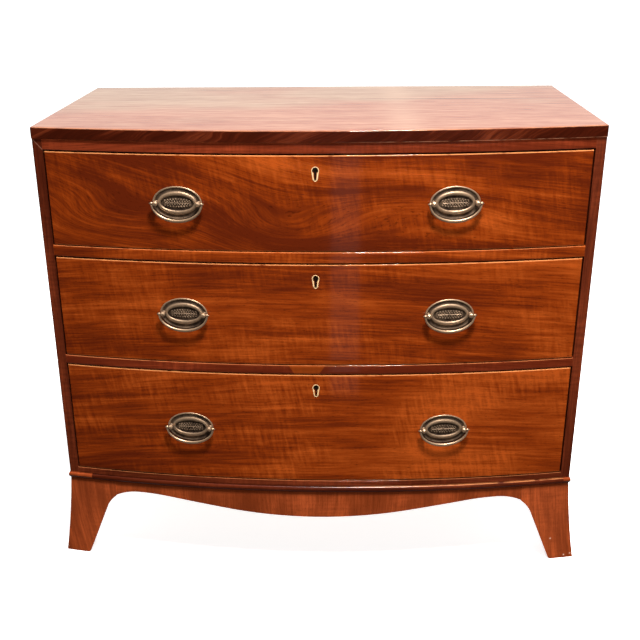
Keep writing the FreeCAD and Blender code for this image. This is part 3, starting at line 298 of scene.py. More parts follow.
def new_piece(name, parts, finish, body, replaced=(), marks=(), sharp=38.0):
    """One object from several (points, faces): doubles merged, faces outwards, smooth between sharp edges.

    marks holds a number for each of the first points, such as wear and a painted highlight on an edge,
    dirt in a hollow or painted shade in a gap, and the points after its end have none. A corner that a face
    names twice is taken once.
    """
    points = np.concatenate([part[0] for part in parts])
    starts = np.cumsum([0] + [len(part[0]) for part in parts[:-1]])
    faces = np.concatenate([part[1] + start for part, start in zip(parts, starts)])
    faces = [list(dict.fromkeys(face)) for face in faces.tolist()]
    mesh = bpy.data.meshes.new(name)
    mesh.from_pydata(points.tolist(), [], faces)
    if len(marks):
        values = np.zeros(len(points))
        values[:np.size(marks)] = np.ravel(marks)
        mesh.attributes.new("mark", "FLOAT", "POINT").data.foreach_set("value", values)
    whole = bmesh.new()
    whole.from_mesh(mesh)
    bmesh.ops.remove_doubles(whole, verts=whole.verts, dist=2e-6)
    bmesh.ops.recalc_face_normals(whole, faces=whole.faces)
    whole.to_mesh(mesh)
    whole.free()
    mesh.shade_smooth()
    mesh.set_sharp_from_angle(angle=math.radians(sharp))
    mesh.materials.append(material(finish))
    piece = in_scene(name, mesh)
    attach(piece, body)
    if replaced:
        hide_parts(*replaced)
    return piece


# Finishes

def shade(tone, share):
    """A tone made darker or lighter."""
    return tuple(part * share for part in tone)


def between(a, b, share=0.5):
    """The tone that lies that share of the way from a to b."""
    return tuple((1 - share) * p + share * q for p, q in zip(a, b))


class Finish:
    """Node tree of one material. Each method adds a node and returns its output."""

    def __init__(self, name):
        self.material = bpy.data.materials.new(name)
        self.material.use_nodes = True
        self.tree = self.material.node_tree
        self.shader = self.tree.nodes["Principled BSDF"]
        self.place = self.node("ShaderNodeTexCoord").outputs["Object"]

    def node(self, kind, **settings):
        made = self.tree.nodes.new(kind)
        for key, value in settings.items():
            setattr(made, key, value)
        return made

    def put(self, value, socket):
        if isinstance(value, bpy.types.NodeSocket):
            self.tree.links.new(value, socket)
        else:
            socket.default_value = value

    def fed(self, made, values):
        """Fills a node's inputs in order and returns its first output."""
        for value, socket in zip(values, made.inputs):
            self.put(value, socket)
        return made.outputs[0]

    def math(self, operation, *values, clamp=False):
        return self.fed(self.node("ShaderNodeMath", operation=operation, use_clamp=clamp), values)

    def add(self, *values):
        total = values[0]
        for value in values[1:]:
            total = self.math("ADD", total, value)
        return total

    def times(self, a, b):
        return self.math("MULTIPLY", a, b)

    def less(self, a, b):
        return self.math("SUBTRACT", a, b)

    def split(self, vector):
        made = self.node("ShaderNodeSeparateXYZ")
        self.put(vector, made.inputs[0])
        return made.outputs

    def noise(self, vector, scale=1.0, detail=2.0, roughness=0.5):
        made = self.node("ShaderNodeTexNoise")
        self.put(vector, made.inputs["Vector"])
        for key, value in (("Scale", scale), ("Detail", detail), ("Roughness", roughness)):
            self.put(value, made.inputs[key])
        return made.outputs["Fac"]

    def drawn(self, *axes, **settings):
        """Noise over a place given axis by axis: a number, an output, or an output and its scale."""
        place = self.fed(self.node("ShaderNodeCombineXYZ"),
                         [self.times(*axis) if isinstance(axis, tuple) else axis for axis in axes])
        return self.noise(place, **settings)

    def window(self, value, low, high):
        """0 below low, 1 above high and smooth between."""
        return self.fed(self.node("ShaderNodeMapRange", interpolation_type="SMOOTHSTEP"),
                        (value, low, high, 0.0, 1.0))

    def ramp(self, value, *stops):
        """Tones at their places from 0 to 1, and the mixed tones between them."""
        made = self.node("ShaderNodeValToRGB")
        elements = made.color_ramp.elements
        while len(elements) < len(stops):
            elements.new(0.5)
        for element, (position, tone) in zip(elements, stops):
            element.position = position
            element.color = (*tone, 1.0)
        return self.fed(made, (value,))

    def blend(self, share, a, b):
        """Mixes b over a, each an output or a tone, by that share."""
        made = self.node("ShaderNodeMix", data_type="RGBA")
        for value, socket in ((share, made.inputs[0]), (a, made.inputs[6]), (b, made.inputs[7])):
            self.put(value if isinstance(value, (bpy.types.NodeSocket, float)) else (*value, 1.0), socket)
        return made.outputs[2]

    def mark(self):
        return self.node("ShaderNodeAttribute", attribute_name="mark").outputs["Fac"]

    def hump(self, place, centre, size):
        """exp of minus the squared distance from the centre, each way measured in its own size."""
        ways = [self.math("DIVIDE", self.less(*pair), reach)
                for *pair, reach in zip(place, centre, size)]
        squared = self.add(*(self.times(way, way) for way in ways))
        return self.math("EXPONENT", self.times(squared, -1.0))

    def bump(self, height, distance):
        made = self.node("ShaderNodeBump")
        made.inputs["Distance"].default_value = distance
        self.put(height, made.inputs["Height"])
        self.tree.links.new(made.outputs[0], self.shader.inputs["Normal"])

    def surface(self, tone, roughness, **constants):
        self.put(tone, self.shader.inputs["Base Color"])
        self.put(roughness, self.shader.inputs["Roughness"])
        for key, value in constants.items():
            self.shader.inputs[key.replace("_", " ")].default_value = value
        return self.material


def tones(kind):
    """Dark, middle and light tone of a kind of wood, from the finish settings whose names begin with it."""
    finish = bpy.context.scene.chest_finish
    dark, light = getattr(finish, f"{kind}_dark"), getattr(finish, f"{kind}_light")
    return dark, finish.wood_mid if kind == "wood" else between(dark, light, 0.45), light


# Noises of the figure: cycles a metre along the grain and across it, and where in the noise it starts
BANDS, STREAKS, FINE = (1.5, 17.0, 3.1), (3.6, 82.0, 7.7), (16.0, 330.0, 11.3)
CLOUDS, PORES, DRIFT = (6.0, 11.0, 17.9), (110.0, 1100.0, 0.0), (2.2, 5.0, 0.0)
BARS_ALONG, BARS_ACROSS, BARS_START = 150.0, 21.0, 23.0
FINE_WEIGHT = 0.85

# pale arris tone, worn wood and a painted highlight; near-black painted shade for the gaps and the underside
# of the bead
ARRIS_WEAR_AND_HIGHLIGHT, PAINTED_SHADE = (0.92, 0.34, 0.11), (0.004, 0.001, 0.0005)
MITRE_TONE, CHIP_TONE = (0.30, 0.13, 0.08), (0.60, 0.38, 0.27)


def polished(name, kind, grain="X", slope=0.0, turn=9.0, drift=0.012, eyes=(), blocks=0.0, broad=1.5,
             streak=1.0, ripple=0.35, lean=0.0, cloud=0.7, shift=0.0, painted_light_slope=0.0, lift=0.0, patch=(),
             under=0.0, mitre=(), worn=0.0, chips=(), dull=0.0):
    """French-polished mahogany: a sum of noises drawn out along the grain, and pores as short dark dashes.

    grain is the axis that the grain runs along. The line across it is first moved by slope, a lean that
    stops at the place turn; by drift, a slow wander; by eyes, humps of (centre, size, height) that the
    streaks run round; and by blocks, the width of the pieces that the figure starts afresh in. broad, streak
    and cloud weigh the wide bands, the streaks and the soft patches; ripple weighs the narrow bars across the
    grain, which lean by lean and show in the patches. shift is where in the noises the leaf is cut. All of it
    is lighter by lift, and by tilt for each metre to the right, a painted gradient of light that brightens
    the right side.

    patch, (middle, half width, height, taper), is a let-in piece of lighter wood: it has that half width at
    that height, and taper less for each metre lower. under is the height of the moulding's lower edge, and
    a dark band beneath it, painted shadow of the moulding with some stain, fades out within a centimetre.
    mitre, (a, b, c), is a pale joint where a x + b z = c. worn is how strongly marks above 0 show pale
    arrises, worn wood and a painted highlight; marks below 0 are painted shade. chips are pale spots of
    (centre, radius). dull takes clearness from the polish.
    """
    finish = bpy.context.scene.chest_finish
    dark, middle, light = tones(kind)
    f = Finish(name)
    x, y, z = f.split(f.place)
    both = f.add(x, y)
    along, across = {"X": (x, f.add(z, f.times(y, 0.6))), "Z": (z, both)}[grain]

    def layer(noise, line, **settings):
        return f.drawn((along, noise[0]), (line, noise[1]), shift + noise[2], **settings)

    leaning = f.math("SMOOTH_MIN", along, turn, 0.2)
    lines = f.add(across, f.times(leaning, slope), f.times(f.less(layer(DRIFT, across), 0.5), drift * 4))
    for centre, size, height in eyes:
        lines = f.add(lines, f.times(f.hump((along, across), centre, size), height))
    if blocks:
        lines = f.add(lines, f.times(f.math("FLOOR", f.times(both, 1.0 / blocks)), 0.37))
    bands = layer(BANDS, lines, detail=3.0, roughness=0.6)
    streaks = layer(STREAKS, lines, detail=4.0, roughness=0.6)
    fine = layer(FINE, lines, detail=3.0)
    clouds = layer(CLOUDS, across, detail=3.0)
    bars = f.drawn(f.add(f.times(along, BARS_ALONG), f.times(across, lean * BARS_ALONG)),
                   (across, BARS_ACROSS), shift + BARS_START, roughness=0.6)
    showing = f.window(clouds, 0.38, 0.58)
    # tilt paints light: the leaf grows lighter towards the right
    value = f.add(lift + 0.5 - 0.5 * (broad + streak + FINE_WEIGHT + cloud), f.times(bands, broad),
                  f.times(streaks, streak), f.times(fine, FINE_WEIGHT), f.times(clouds, cloud),
                  f.times(f.times(f.less(bars, 0.5), ripple * 2.6), showing), f.times(x, painted_light_slope))
    tone = f.ramp(value, (0.16, dark), (0.40, between(dark, middle)), (0.55, middle), (0.84, light),
                  (1.0, shade(light, 1.25)))
    pores = layer(PORES, lines, detail=1.0)
    tone = f.blend(f.times(f.window(pores, 0.60, 0.72), 0.5), tone, shade(dark, 0.3))

    if patch:
        centre, half, level, taper = patch
        edge = f.add(f.math("ABSOLUTE", f.add(x, -centre)), f.times(f.add(level, f.times(z, -1.0)), taper))
        let_in = f.ramp(value, (0.1, shade(finish.wood_light, 0.6)), (0.8, finish.wood_light))
        tone = f.blend(f.times(f.window(edge, half + 0.0004, half - 0.0004), 0.95), tone, let_in)
    # under: a dark band below the moulding, painted shadow of the moulding with some stain
    if under:
        band = f.window(f.add(z, f.times(clouds, 0.008)), under - 0.009, under + 0.003)
        tone = f.blend(f.times(band, 0.75), tone, shade(dark, 0.5))
    if mitre:
        a, b, c = mitre
        joint = f.hump((f.add(f.times(x, a), f.times(z, b)),), (c,), (0.0007,))
        tone = f.blend(f.times(joint, 0.6), tone, MITRE_TONE)
    # marks above 0 give pale arrises, worn wood and a painted highlight; marks below 0 give painted shade
    if worn:
        mark = f.mark()
        rub = f.times(f.math("MAXIMUM", mark, 0.0), f.window(f.noise(f.place, 60.0, 3.0), 0.22, 0.50))
        tone = f.blend(f.times(rub, worn), tone, ARRIS_WEAR_AND_HIGHLIGHT)
        # the negative marks paint shade: the gaps beside the drawers and the underside of the bead
        tone = f.blend(f.math("MAXIMUM", f.times(mark, -1.0), 0.0), tone, PAINTED_SHADE)
    for centre, radius in chips:
        tone = f.blend(f.hump((x, z), centre, (radius, radius)), tone, CHIP_TONE)
    rough = f.add(0.26, f.times(fine, 0.12), f.times(f.noise(f.place, 24.0, 3.0), 0.08))
    f.bump(f.add(fine, f.times(pores, -0.3)), 0.00003)
    return f.surface(tone, rough, Coat_Weight=finish.polish * (1 - 2 * dull),
                     Coat_Roughness=finish.polish_roughness + dull,
                     Coat_IOR=1.5, Specular_IOR_Level=0.0)


def top_wood(name):
    """The top: pale and hazy on its flat face, partly as painted sheen of the polish, with a darker
    cross-banded edge.
    """
    f = Finish(name)
    finish = bpy.context.scene.chest_finish
    x, y, z = f.split(f.place)
    low, high = BOX["top"]
    # flat face: warm wood, with paler, greyer tones in broad patches and towards the back and left as painted
    # sheen of the polish, along one figure
    lines = f.add(y, f.times(f.drawn((x, 1.6), (y, 3.0), 0.0), 0.05))
    bands = f.drawn((x, 2.2), (lines, 15.0), 2.0, detail=3.0, roughness=0.6)
    streaks = f.drawn((x, 7.0), (lines, 66.0), 5.0, detail=4.0, roughness=0.65)
    fine = f.drawn((x, 22.0), (lines, 230.0), 8.0, detail=3.0)
    value = f.add(-1.05, f.times(bands, 0.7), f.times(streaks, 1.3), f.times(fine, 1.1))
    zone = f.drawn((x, 2.6), (y, 4.5), 14.0)
    pale = f.window(f.add(zone, f.times(x, -0.30), f.times(y, 0.75)), 0.38, 0.72)
    tone = f.blend(pale, f.ramp(value, (0.2, finish.top_dark), (0.8, finish.top_light)),
                   f.ramp(value, (0.2, finish.top_sheen_dark), (0.8, finish.top_sheen)))
    # a lighter band from front to back, and the open seam between two boards
    tone = f.blend(f.times(f.hump((x,), (0.155,), (0.035,)), 0.3), tone, (0.31, 0.19, 0.125))
    seam = f.hump((x, f.add(y, f.times(x, 0.012))), (0.25, 0.090), (0.17, 0.0036))
    tone = f.blend(f.times(seam, 0.9), tone, (0.035, 0.010, 0.006))
    # edge: figure that stands across it and leans, with a broken pale line along its foot at the right, a
    # painted highlight along the joint with the rail
    leaf = f.add(x, f.times(z, -1.8), f.times(f.drawn((x, 9.0), 0.0, (z, 30.0)), 0.06))
    cross = f.drawn((leaf, 130.0), (y, 6.0), (z, 26.0), detail=4.0, roughness=0.6)
    broad = f.drawn((leaf, 13.0), (y, 2.0), (z, 10.0))
    edge = f.ramp(f.add(-0.80, f.times(cross, 1.3), f.times(broad, 1.1)), (0.2, (0.026, 0.0035, 0.0012)),
                  (0.5, (0.041, 0.0056, 0.0018)), (0.8, (0.100, 0.017, 0.0055)))
    joint = f.times(f.hump((z,), (low.z + 0.0003,), (0.0005,)), f.window(x, 0.02, 0.16))
    joint = f.times(joint, f.window(f.drawn((x, 45.0), 0.0, 0.0, detail=3.0), 0.38, 0.6))
    edge = f.blend(f.times(joint, 0.5), edge, (0.45, 0.20, 0.11))
    tone = f.blend(f.window(z, high.z - 0.0016, high.z - 0.0006), edge, tone)
    rub = f.times(f.mark(), f.window(f.noise(f.place, 70.0, 3.0), 0.3, 0.6))
    tone = f.blend(f.times(rub, 0.5), tone, (0.42, 0.15, 0.06))
    f.bump(fine, 0.00004)
    return f.surface(tone, f.add(0.30, f.times(fine, 0.14)), Coat_Weight=0.5, Coat_Roughness=0.1,
                     Coat_IOR=1.5, Specular_IOR_Level=0.0)


def inner_wood(name, grain, level, shift):
    """Plain sawn softwood, dry and a little dusty: straight rings and a few darker streaks."""
    finish = bpy.context.scene.chest_finish
    f = Finish(name)
    x, y, z = f.split(f.place)
    along, across = {"X": (x, f.add(y, z)), "Y": (y, f.add(x, z)), "Z": (z, f.add(x, y))}[grain]
    lines = f.add(across, f.times(f.drawn((along, 1.3), (across, 4.0), shift), 0.05))
    rings = f.drawn((along, 1.1), (lines, 60.0), shift + 2.0, detail=3.0)
    fine = f.drawn((along, 9.0), (lines, 420.0), shift + 5.0, detail=3.0)
    value = f.add(-0.35, f.times(rings, 1.1), f.times(fine, 0.6))
    tone = f.ramp(value, (0.25, shade(finish.pine_dark, level)), (0.75, shade(finish.pine_light, level)))
    dust = f.window(f.noise(f.place, 5.0, 4.0), 0.35, 0.7)
    tone = f.blend(f.times(dust, 0.4), tone, shade(finish.pine_dark, 0.5))
    f.bump(fine, 0.0002)
    return f.surface(tone, f.add(0.62, f.times(fine, 0.2)), Specular_IOR_Level=0.25)


def aged_brass(name):
    """Old lacquered brass: rubbed bright on the high places, brown tarnish in the hollows, small spots."""
    finish = bpy.context.scene.chest_finish
    f = Finish(name)
    cloud = f.noise(f.place, 60.0, 4.0, 0.6)
    spots = f.noise(f.place, 420.0, 3.0, 0.6)
    dirt = f.math("ADD", f.times(f.mark(), 0.85), f.times(f.less(cloud, 0.5), 0.9), clamp=True)
    dirt = f.math("ADD", dirt, f.times(f.window(spots, 0.56, 0.68), 0.30), clamp=True)
    tone = f.ramp(dirt, (0.0, finish.brass_light), (0.45, between(finish.brass_light, finish.brass_dark)),
                  (1.0, finish.brass_dark))
    f.bump(f.add(cloud, f.times(spots, 0.6)), 0.0002)
    return f.surface(tone, f.add(0.40, f.times(dirt, 0.24)), Metallic=0.75)


def old_bone(name):
    """Bone: cream, with fine darker canals along its length, grime at its outer edge and near-black painted
    shade down the keyhole.
    """
    f = Finish(name)
    x, _, z = f.split(f.place)
    canals = f.drawn((x, 1400.0), 0.0, (z, 160.0))
    cloud = f.noise(f.place, 160.0, 3.0)
    tone = f.blend(f.times(f.window(canals, 0.52, 0.72), 0.35), bpy.context.scene.chest_finish.bone_light,
                   (0.50, 0.36, 0.20))
    tone = f.blend(f.times(f.window(cloud, 0.4, 0.7), 0.25), tone, (0.62, 0.47, 0.28))
    # grime at the outer edge, and near-black painted shade down the keyhole
    tone = f.blend(f.times(f.mark(), 0.97), tone, (0.010, 0.005, 0.003))
    f.bump(canals, 0.00008)
    return f.surface(tone, f.add(0.42, f.times(cloud, 0.15)), Specular_IOR_Level=0.25)


def old_iron(name):
    """Wrought iron: dark, uneven, with brown rust in patches."""
    f = Finish(name)
    cloud = f.noise(f.place, 70.0, 5.0, 0.65)
    pits = f.noise(f.place, 700.0, 3.0)
    rust = f.window(f.add(cloud, f.times(pits, 0.2)), 0.55, 0.75)
    tone = f.blend(rust, bpy.context.scene.chest_finish.iron, (0.16, 0.06, 0.025))
    f.bump(f.add(cloud, f.times(pits, 0.5)), 0.0004)
    return f.surface(tone, f.add(0.42, f.times(rust, 0.35)), Metallic=0.85)


def left_mitre():
    """The line a x + b z = c from the left stile's upper outer corner to the top rail's lower end."""
    low, high = BOX["stile_left"]
    run, fall = high.x - low.x, high.z - BOX["top_rail"][0].z
    size = math.hypot(run, fall)
    return fall / size, run / size, (low.x * fall + high.z * run) / size


# How each polished wood differs from the plain leaf of polished()
DRAWER = dict(kind="wood", lean=0.2, ripple=0.24, worn=0.55)
RAIL = dict(kind="case", drift=0.004, broad=1.0, streak=1.3, ripple=0.3, cloud=0.8, lift=0.08, worn=0.3)
STILE = dict(kind="stile", grain="Z", drift=0.004, broad=1.0, streak=1.2, ripple=0.3, cloud=0.9, shift=91.0,
             dull=0.4)
# the feet and apron darken under the moulding: painted shadow with some stain
BASE = dict(kind="base", grain="Z", under=BOX["base_moulding"][0].z)
WOODS = {
    # lift grows from the upper drawer to the lowest as painted light, making up for the key lamp's fall-off;
    # tilt brightens each drawer to the right as painted light
    "drawer_1_veneer": dict(DRAWER, slope=0.34, turn=0.04, drift=0.009, broad=2.0, streak=0.8, cloud=1.3,
                            shift=1.7, painted_light_slope=0.05, lift=-0.10,
                            eyes=(((-0.38, 0.55), (0.13, 0.05), 0.045), ((-0.08, 0.52), (0.12, 0.05), 0.045),
                                  ((0.16, 0.56), (0.16, 0.05), -0.04))),
    "drawer_2_veneer": dict(DRAWER, slope=0.02, drift=0.006, streak=0.95, lean=0.15, cloud=0.95, shift=31.4,
                            painted_light_slope=0.07, lift=0.12),
    "drawer_3_veneer": dict(DRAWER, slope=-0.02, drift=0.008, broad=1.4, streak=0.9, ripple=0.34, cloud=0.9,
                            shift=57.2, worn=0.6, painted_light_slope=0.16, lift=0.19),
    "top_rail_wood": dict(RAIL, shift=83.0, worn=0.1),
    "divider_1_wood": dict(RAIL, kind="wood", shift=87.0, painted_light_slope=0.2),
    "divider_2_wood": dict(RAIL, shift=85.0, lift=-0.22, patch=(-0.017, 0.034, 0.4305, 0.65)),
    "base_rail_wood": dict(RAIL, kind="stile", shift=89.0),
    "moulding_dark": dict(kind="stile", broad=1.0, streak=1.2, ripple=0.2, shift=71.0, worn=0.35, painted_light_slope=0.35,
                          lift=-0.2, dull=0.15),
    "moulding_pale": dict(kind="base", broad=0.8, ripple=0.2, shift=75.0, worn=0.2),
    "stile_wood": STILE,
    "stile_left_wood": dict(STILE, mitre=left_mitre()),
    "foot_wood": dict(BASE, drift=0.010, broad=1.0, streak=0.9, ripple=0.25, cloud=1.3, shift=101.0,
                      lift=0.05, dull=0.3,
                      chips=(((0.470, 0.044), 0.0014), ((0.500, 0.006), 0.0013), ((0.513, 0.008), 0.0013))),
    "apron_wood": dict(BASE, drift=0.014, broad=0.7, streak=0.35, ripple=0.2, cloud=2.4, shift=113.0,
                       blocks=0.12, lift=0.04),
    "side_wood": dict(kind="case", grain="Z", ripple=0.3, cloud=0.6, shift=127.0, dull=0.4),
}

# Grain, level of its tones and shift of each inner wood
INNER_WOODS = {
    "drawer_sides": ("Y", 1.0, 3.0), "drawer_backs": ("X", 1.0, 13.0), "inner_boards": ("X", 0.62, 23.0),
    "back_wood": ("Z", 0.7, 33.0), "runner_wood": ("Y", 0.8, 43.0),
}
OTHER_FINISHES = {"top_board": top_wood, "aged_brass": aged_brass, "old_bone": old_bone,
                  "old_iron": old_iron}

# The finish of each of the frame's own nodes, and below of those that every drawer has
CASE_NODES = {
    "stile_left_wood": ("stile_left",), "stile_wood": ("stile_right",),
    "side_wood": ("side_left", "side_right"), "foot_wood": ("front_feet", "back_feet"),
    "apron_wood": ("front_apron", "side_aprons"), "back_wood": ("back_boards",),
    "inner_boards": ("dust_boards", "bottom_board", "drawer_stops", "back_rail", "glue_blocks"),
    "runner_wood": ("drawer_runners", "kickers"),
}
DRAWER_NODES = {
    "drawer_sides": ("side_left", "side_right"), "drawer_backs": ("back", "bottom"),
    "old_iron": ("lock", "lock_bolt"), "aged_brass": ("handle_posts",),
}


def material(name):
    """The finish of that name, made the first time that it is asked for."""
    if name in bpy.data.materials:
        return bpy.data.materials[name]
    if name in WOODS:
        return polished(name, **WOODS[name])
    if name in INNER_WOODS:
        return inner_wood(name, *INNER_WOODS[name])
    return OTHER_FINISHES[name](name)


# Operators

class Piece:
    """What the operators share."""

    bl_options = {"REGISTER", "UNDO"}

    def execute(self, context):
        self.build(context.scene.chest_sizes)
        return {"FINISHED"}


class AddTop(Piece, bpy.types.Operator):
    """Top board: a flat sheet between the bowed front line and the straight back, with worn upper edges"""

    bl_idname = "chest.add_top"
    bl_label = "Add the top"

    def build(self, sizes):
        low, high = BOX["top"]
        radius, corner = sizes.top_arris, 1e-4
        s, t, depth, wear = eased_rectangle(np.linspace(low.x + radius, high.x - radius, 81),
                                            np.linspace(radius, 1.0 - radius, 31), radius)
        front = front_y(np.clip(s, low.x + corner, high.x - corner), sizes.top_overhang)
        share = (t - radius) / (1 - 2 * radius)
        inside = front + radius + share * (high.y - front - 2 * radius)
        y = np.where(t < radius, front + t, np.where(t > 1 - radius, high.y - (1 - t), inside))
        upper = np.stack([s, y, high.z - depth], axis=-1)
        lower = np.stack([s, y, np.full_like(s, low.z)], axis=-1)
        new_piece("top_board", [slab(upper, lower)], "top_board", CARCASE, ["top"], wear)


class AddMoulding(Piece, bpy.types.Operator):
    """Base moulding: a bead carried along the left side, round the bow and along the right side, mitred"""

    bl_idname = "chest.add_moulding"
    bl_label = "Add the base moulding"

    def build(self, sizes):
        low, high = BOX["base_moulding"]
        middle, rise = (low.z + high.z) / 2, (high.z - low.z) / 2
        # a half round nose between two narrow steps, and a flat back in the case
        ledge, step, root = 0.0012, 0.0006, 0.0002
        nose = [((sizes.bead_reach + root) * math.cos(a) - root, middle + (rise - ledge) * math.sin(a))
                for a in np.linspace(-np.pi / 2, np.pi / 2, 13)]
        profile = ([(-sizes.bead_back, low.z), (step, low.z)] + nose
                   + [(step, high.z), (-sizes.bead_back, high.z)])
        radius = bow_arc()[0]
        lean = HALF_WIDTH / radius
        # the mitre points along the sum of the two outward directions, drawn out to reach both faces
        bisector = np.array([1.0 + lean, -math.sqrt(1 - lean ** 2)]) / (1.0 + lean)

        def stretch(x_from, x_to, count):
            x = np.linspace(x_from, x_to, count)
            outward = np.stack([x / radius, -np.sqrt(1 - (x / radius) ** 2)], axis=-1)
            for end in (0, -1):
                if math.isclose(abs(x[end]), HALF_WIDTH):
                    outward[end] = bisector * (np.sign(x[end]), 1)
            return swept(profile, np.stack([x, front_y(x)], axis=-1), outward)

        def flank(sign):
            path = np.array([[sign * HALF_WIDTH, high.y], [sign * HALF_WIDTH, front_y(HALF_WIDTH)]])
            return swept(profile, path, np.array([[sign, 0.0], bisector * (sign, 1)]))

        # paler lengths are let in at both ends, and the right half of the dark one has a painted highlight
        # along its top
        left_joint, right_joint, gap = -0.452, 0.487, 0.0002
        front = stretch(left_joint + gap, right_joint - gap, 81)
        x, y, z = front[0].T
        wear = np.clip(x / 0.12, 0, 1) * (z > high.z - 0.0022) * (front_y(x) - y > 0.0004)
        new_piece("moulding_front", [front], "moulding_dark", CARCASE, ["base_moulding"],
                  wear)
        for name, lengths in (("left", [flank(-1), stretch(-HALF_WIDTH, left_joint, 9)]),
                              ("right", [flank(1), stretch(right_joint, HALF_WIDTH, 5)])):
            # the lower half of each pale length is marked for painted shade under the bead
            height = np.concatenate([points[:, 2] for points, _ in lengths])
            new_piece(f"moulding_{name}", lengths, "moulding_pale", CARCASE,
                      marks=np.where(height < middle, -0.75, 0.0))


class AddRailFacings(Piece, bpy.types.Operator):
    """Rail facings: a thin bowed strip with rolled edges, pale from wear and a painted highlight, over each
    rail between the stiles
    """

    bl_idname = "chest.add_rail_facings"
    bl_label = "Add the rail facings"

    def build(self, sizes):
        inner = BOX["stile_right"][0].x - 0.0001
        for rail in RAILS:
            low, high = BOX[rail]
            radius = sizes.rail_arris * (0.6 if rail == "base_rail" else 1.0)
            s, t, depth, wear = eased_rectangle(np.linspace(radius - inner, inner - radius, 97),
                                                np.linspace(low.z + radius, high.z - radius, 5), radius, 4)
            front, back = (bowed(s, t, sizes.veneer_proud, inset) for inset in (depth, sizes.rail_facing))
            # their arrises are pale, worn wood and a painted highlight, most along the top edge
            new_piece(f"{rail}_facing", [slab(front, back)], f"{rail}_wood", CARCASE,
                      marks=np.where(t > high.z - 2 * radius, 1.0, 0.15) * wear)


class AddDrawerVeneers(Piece, bpy.types.Operator):
    """Polished drawer faces: a bowed sheet with a rolled rim, pale from wear and a painted highlight and dark
    with painted shade at the sides, and an opening for the bone inlay
    """

    bl_idname = "chest.add_drawer_veneers"
    bl_label = "Add the drawer veneers"

    def build(self, sizes):
        # the face laps the board by lap; the squares round the keyhole reach block each way and further down
        radius, lap, block, further, steps = sizes.drawer_arris, 0.00012, 0.012, 0.009, 5
        for drawer in DRAWERS:
            low, high = BOX[f"{drawer}_front"]
            outline, centre, _ = inlay(drawer)
            left, right, foot = low.x - lap + radius, high.x + lap - radius, low.z - lap + radius
            crest = high.z + lap - radius
            block_low, block_high = centre[1] - block - further, centre[1] + block
            columns = np.concatenate([np.linspace(left, centre[0] - block, 41),
                                      np.linspace(centre[0] - block, centre[0] + block, 7)[1:-1],
                                      np.linspace(centre[0] + block, right, 41)])
            rows = np.concatenate([np.linspace(foot, block_low, 12),
                                   np.linspace(block_low, block_high, 8)[1:-1],
                                   np.linspace(block_high, crest - 0.0008, 5), [crest - 0.0002, crest]])
            s, t, depth, wear = eased_rectangle(columns, rows, radius, steps)
            # the top rim is fully pale: worn wood and a painted highlight
            wear = np.where(t > crest - 0.0003, 1.0, 0.6 * wear)
            # the rim beside the drawer, in the gap by the stiles, gets painted shade
            beside = np.abs(s - (low.x + high.x) / 2) > (high.x - low.x) / 2 + lap - 0.7 * radius
            wear = np.where(beside, -0.9, wear)
            proud = sizes.veneer_proud - sizes.drawer_recess
            front, back = (bowed(s, t, proud, inset) for inset in (depth, sizes.veneer))
            # the block's first and last rows and columns, as counted in the two lines of places above
            area = (steps + 11, steps + 18, steps + 40, steps + 46)
            parts = holed(front, back, area, outline, proud, sizes.veneer)
            new_piece(f"{drawer}_veneer", parts, f"{drawer}_veneer", drawer,
                      marks=wear)


def inlay(drawer):
    """Outline of the bone inlay, the middle of its upper circle and the outline of its keyhole.

    The outline is the band round two circles, walked by the direction of its normal: the lower circle serves
    where that direction points down by more than the two radii's difference over their distance. The keyhole
    is walked by the direction from the middle: the larger of its circle and of its slot.
    """
    low, high = BOX[f"{drawer}_escutcheon"]
    upper = (high.x - low.x) / 2
    lower = upper * 0.68
    eye, slot_half, slot_rest = 0.0052, 0.0031, 0.0019
    apart = (high.z - low.z) - upper - lower
    centre = np.array([(low.x + high.x) / 2, high.z - upper])
    angle = np.linspace(0, 2 * np.pi, 48, endpoint=False) + 1e-3
    direction = ellipse(1.0, 1.0, angle)
    below = (direction[:, 1] < (lower - upper) / apart)[:, None]
    outline = centre + np.where(below, lower * direction - [0.0, apart], upper * direction)
    slot = np.minimum(slot_half / np.abs(direction[:, 0]),
                      (apart + lower - slot_rest) / np.abs(direction[:, 1]))
    reach = np.where(direction[:, 1] < 0, np.maximum(eye, slot), eye)
    return outline, centre, centre + direction * reach[:, None]


def holed(front, back, area, outline, proud, thick):
    """A slab with one block of its squares exchanged for a ring that runs from their border to an outline.

    The outline is sampled where it faces each border point, seen from the middle of the hole, and the ring
    runs straight from one to the other in three steps, before and behind, with a wall between.
    """
    rows, columns = front.shape[:2]
    row, last_row, column, last_column = area
    inside = np.zeros((rows - 1, columns - 1), dtype=bool)
    inside[row:last_row, column:last_column] = True
    points, faces = slab(front, back)
    edge_faces = len(faces) - 2 * inside.size
    faces = faces[np.concatenate([np.tile(~inside.ravel(), 2), np.ones(edge_faces, dtype=bool)])]
    index = np.arange(rows * columns).reshape(rows, columns)
    border = rim_of(index[row:last_row + 1, column:last_column + 1])
    around = front.reshape(-1, 3)[border][:, [0, 2]]
    middle = outline.mean(axis=0)
    ring_angle, hole_angle = (np.arctan2(*(line - middle).T[::-1]) for line in (around, outline))
    order = np.argsort(hole_angle)
    table = np.concatenate([hole_angle[order] - 2 * np.pi, hole_angle[order], hole_angle[order] + 2 * np.pi])
    edge = np.stack([np.interp(ring_angle, table, np.tile(line, 3)) for line in outline[order].T], axis=-1)
    flat = around + (edge - around) * np.linspace(0, 1, 4)[:, None, None]
    levels = [bowed(flat[..., 0], flat[..., 1], proud, depth) for depth in (0.0, thick)]
    wall = np.stack([level[-1] for level in levels])
    return [(points, faces)] + [sheet(ring, wrap=True) for ring in (*levels, wall)]


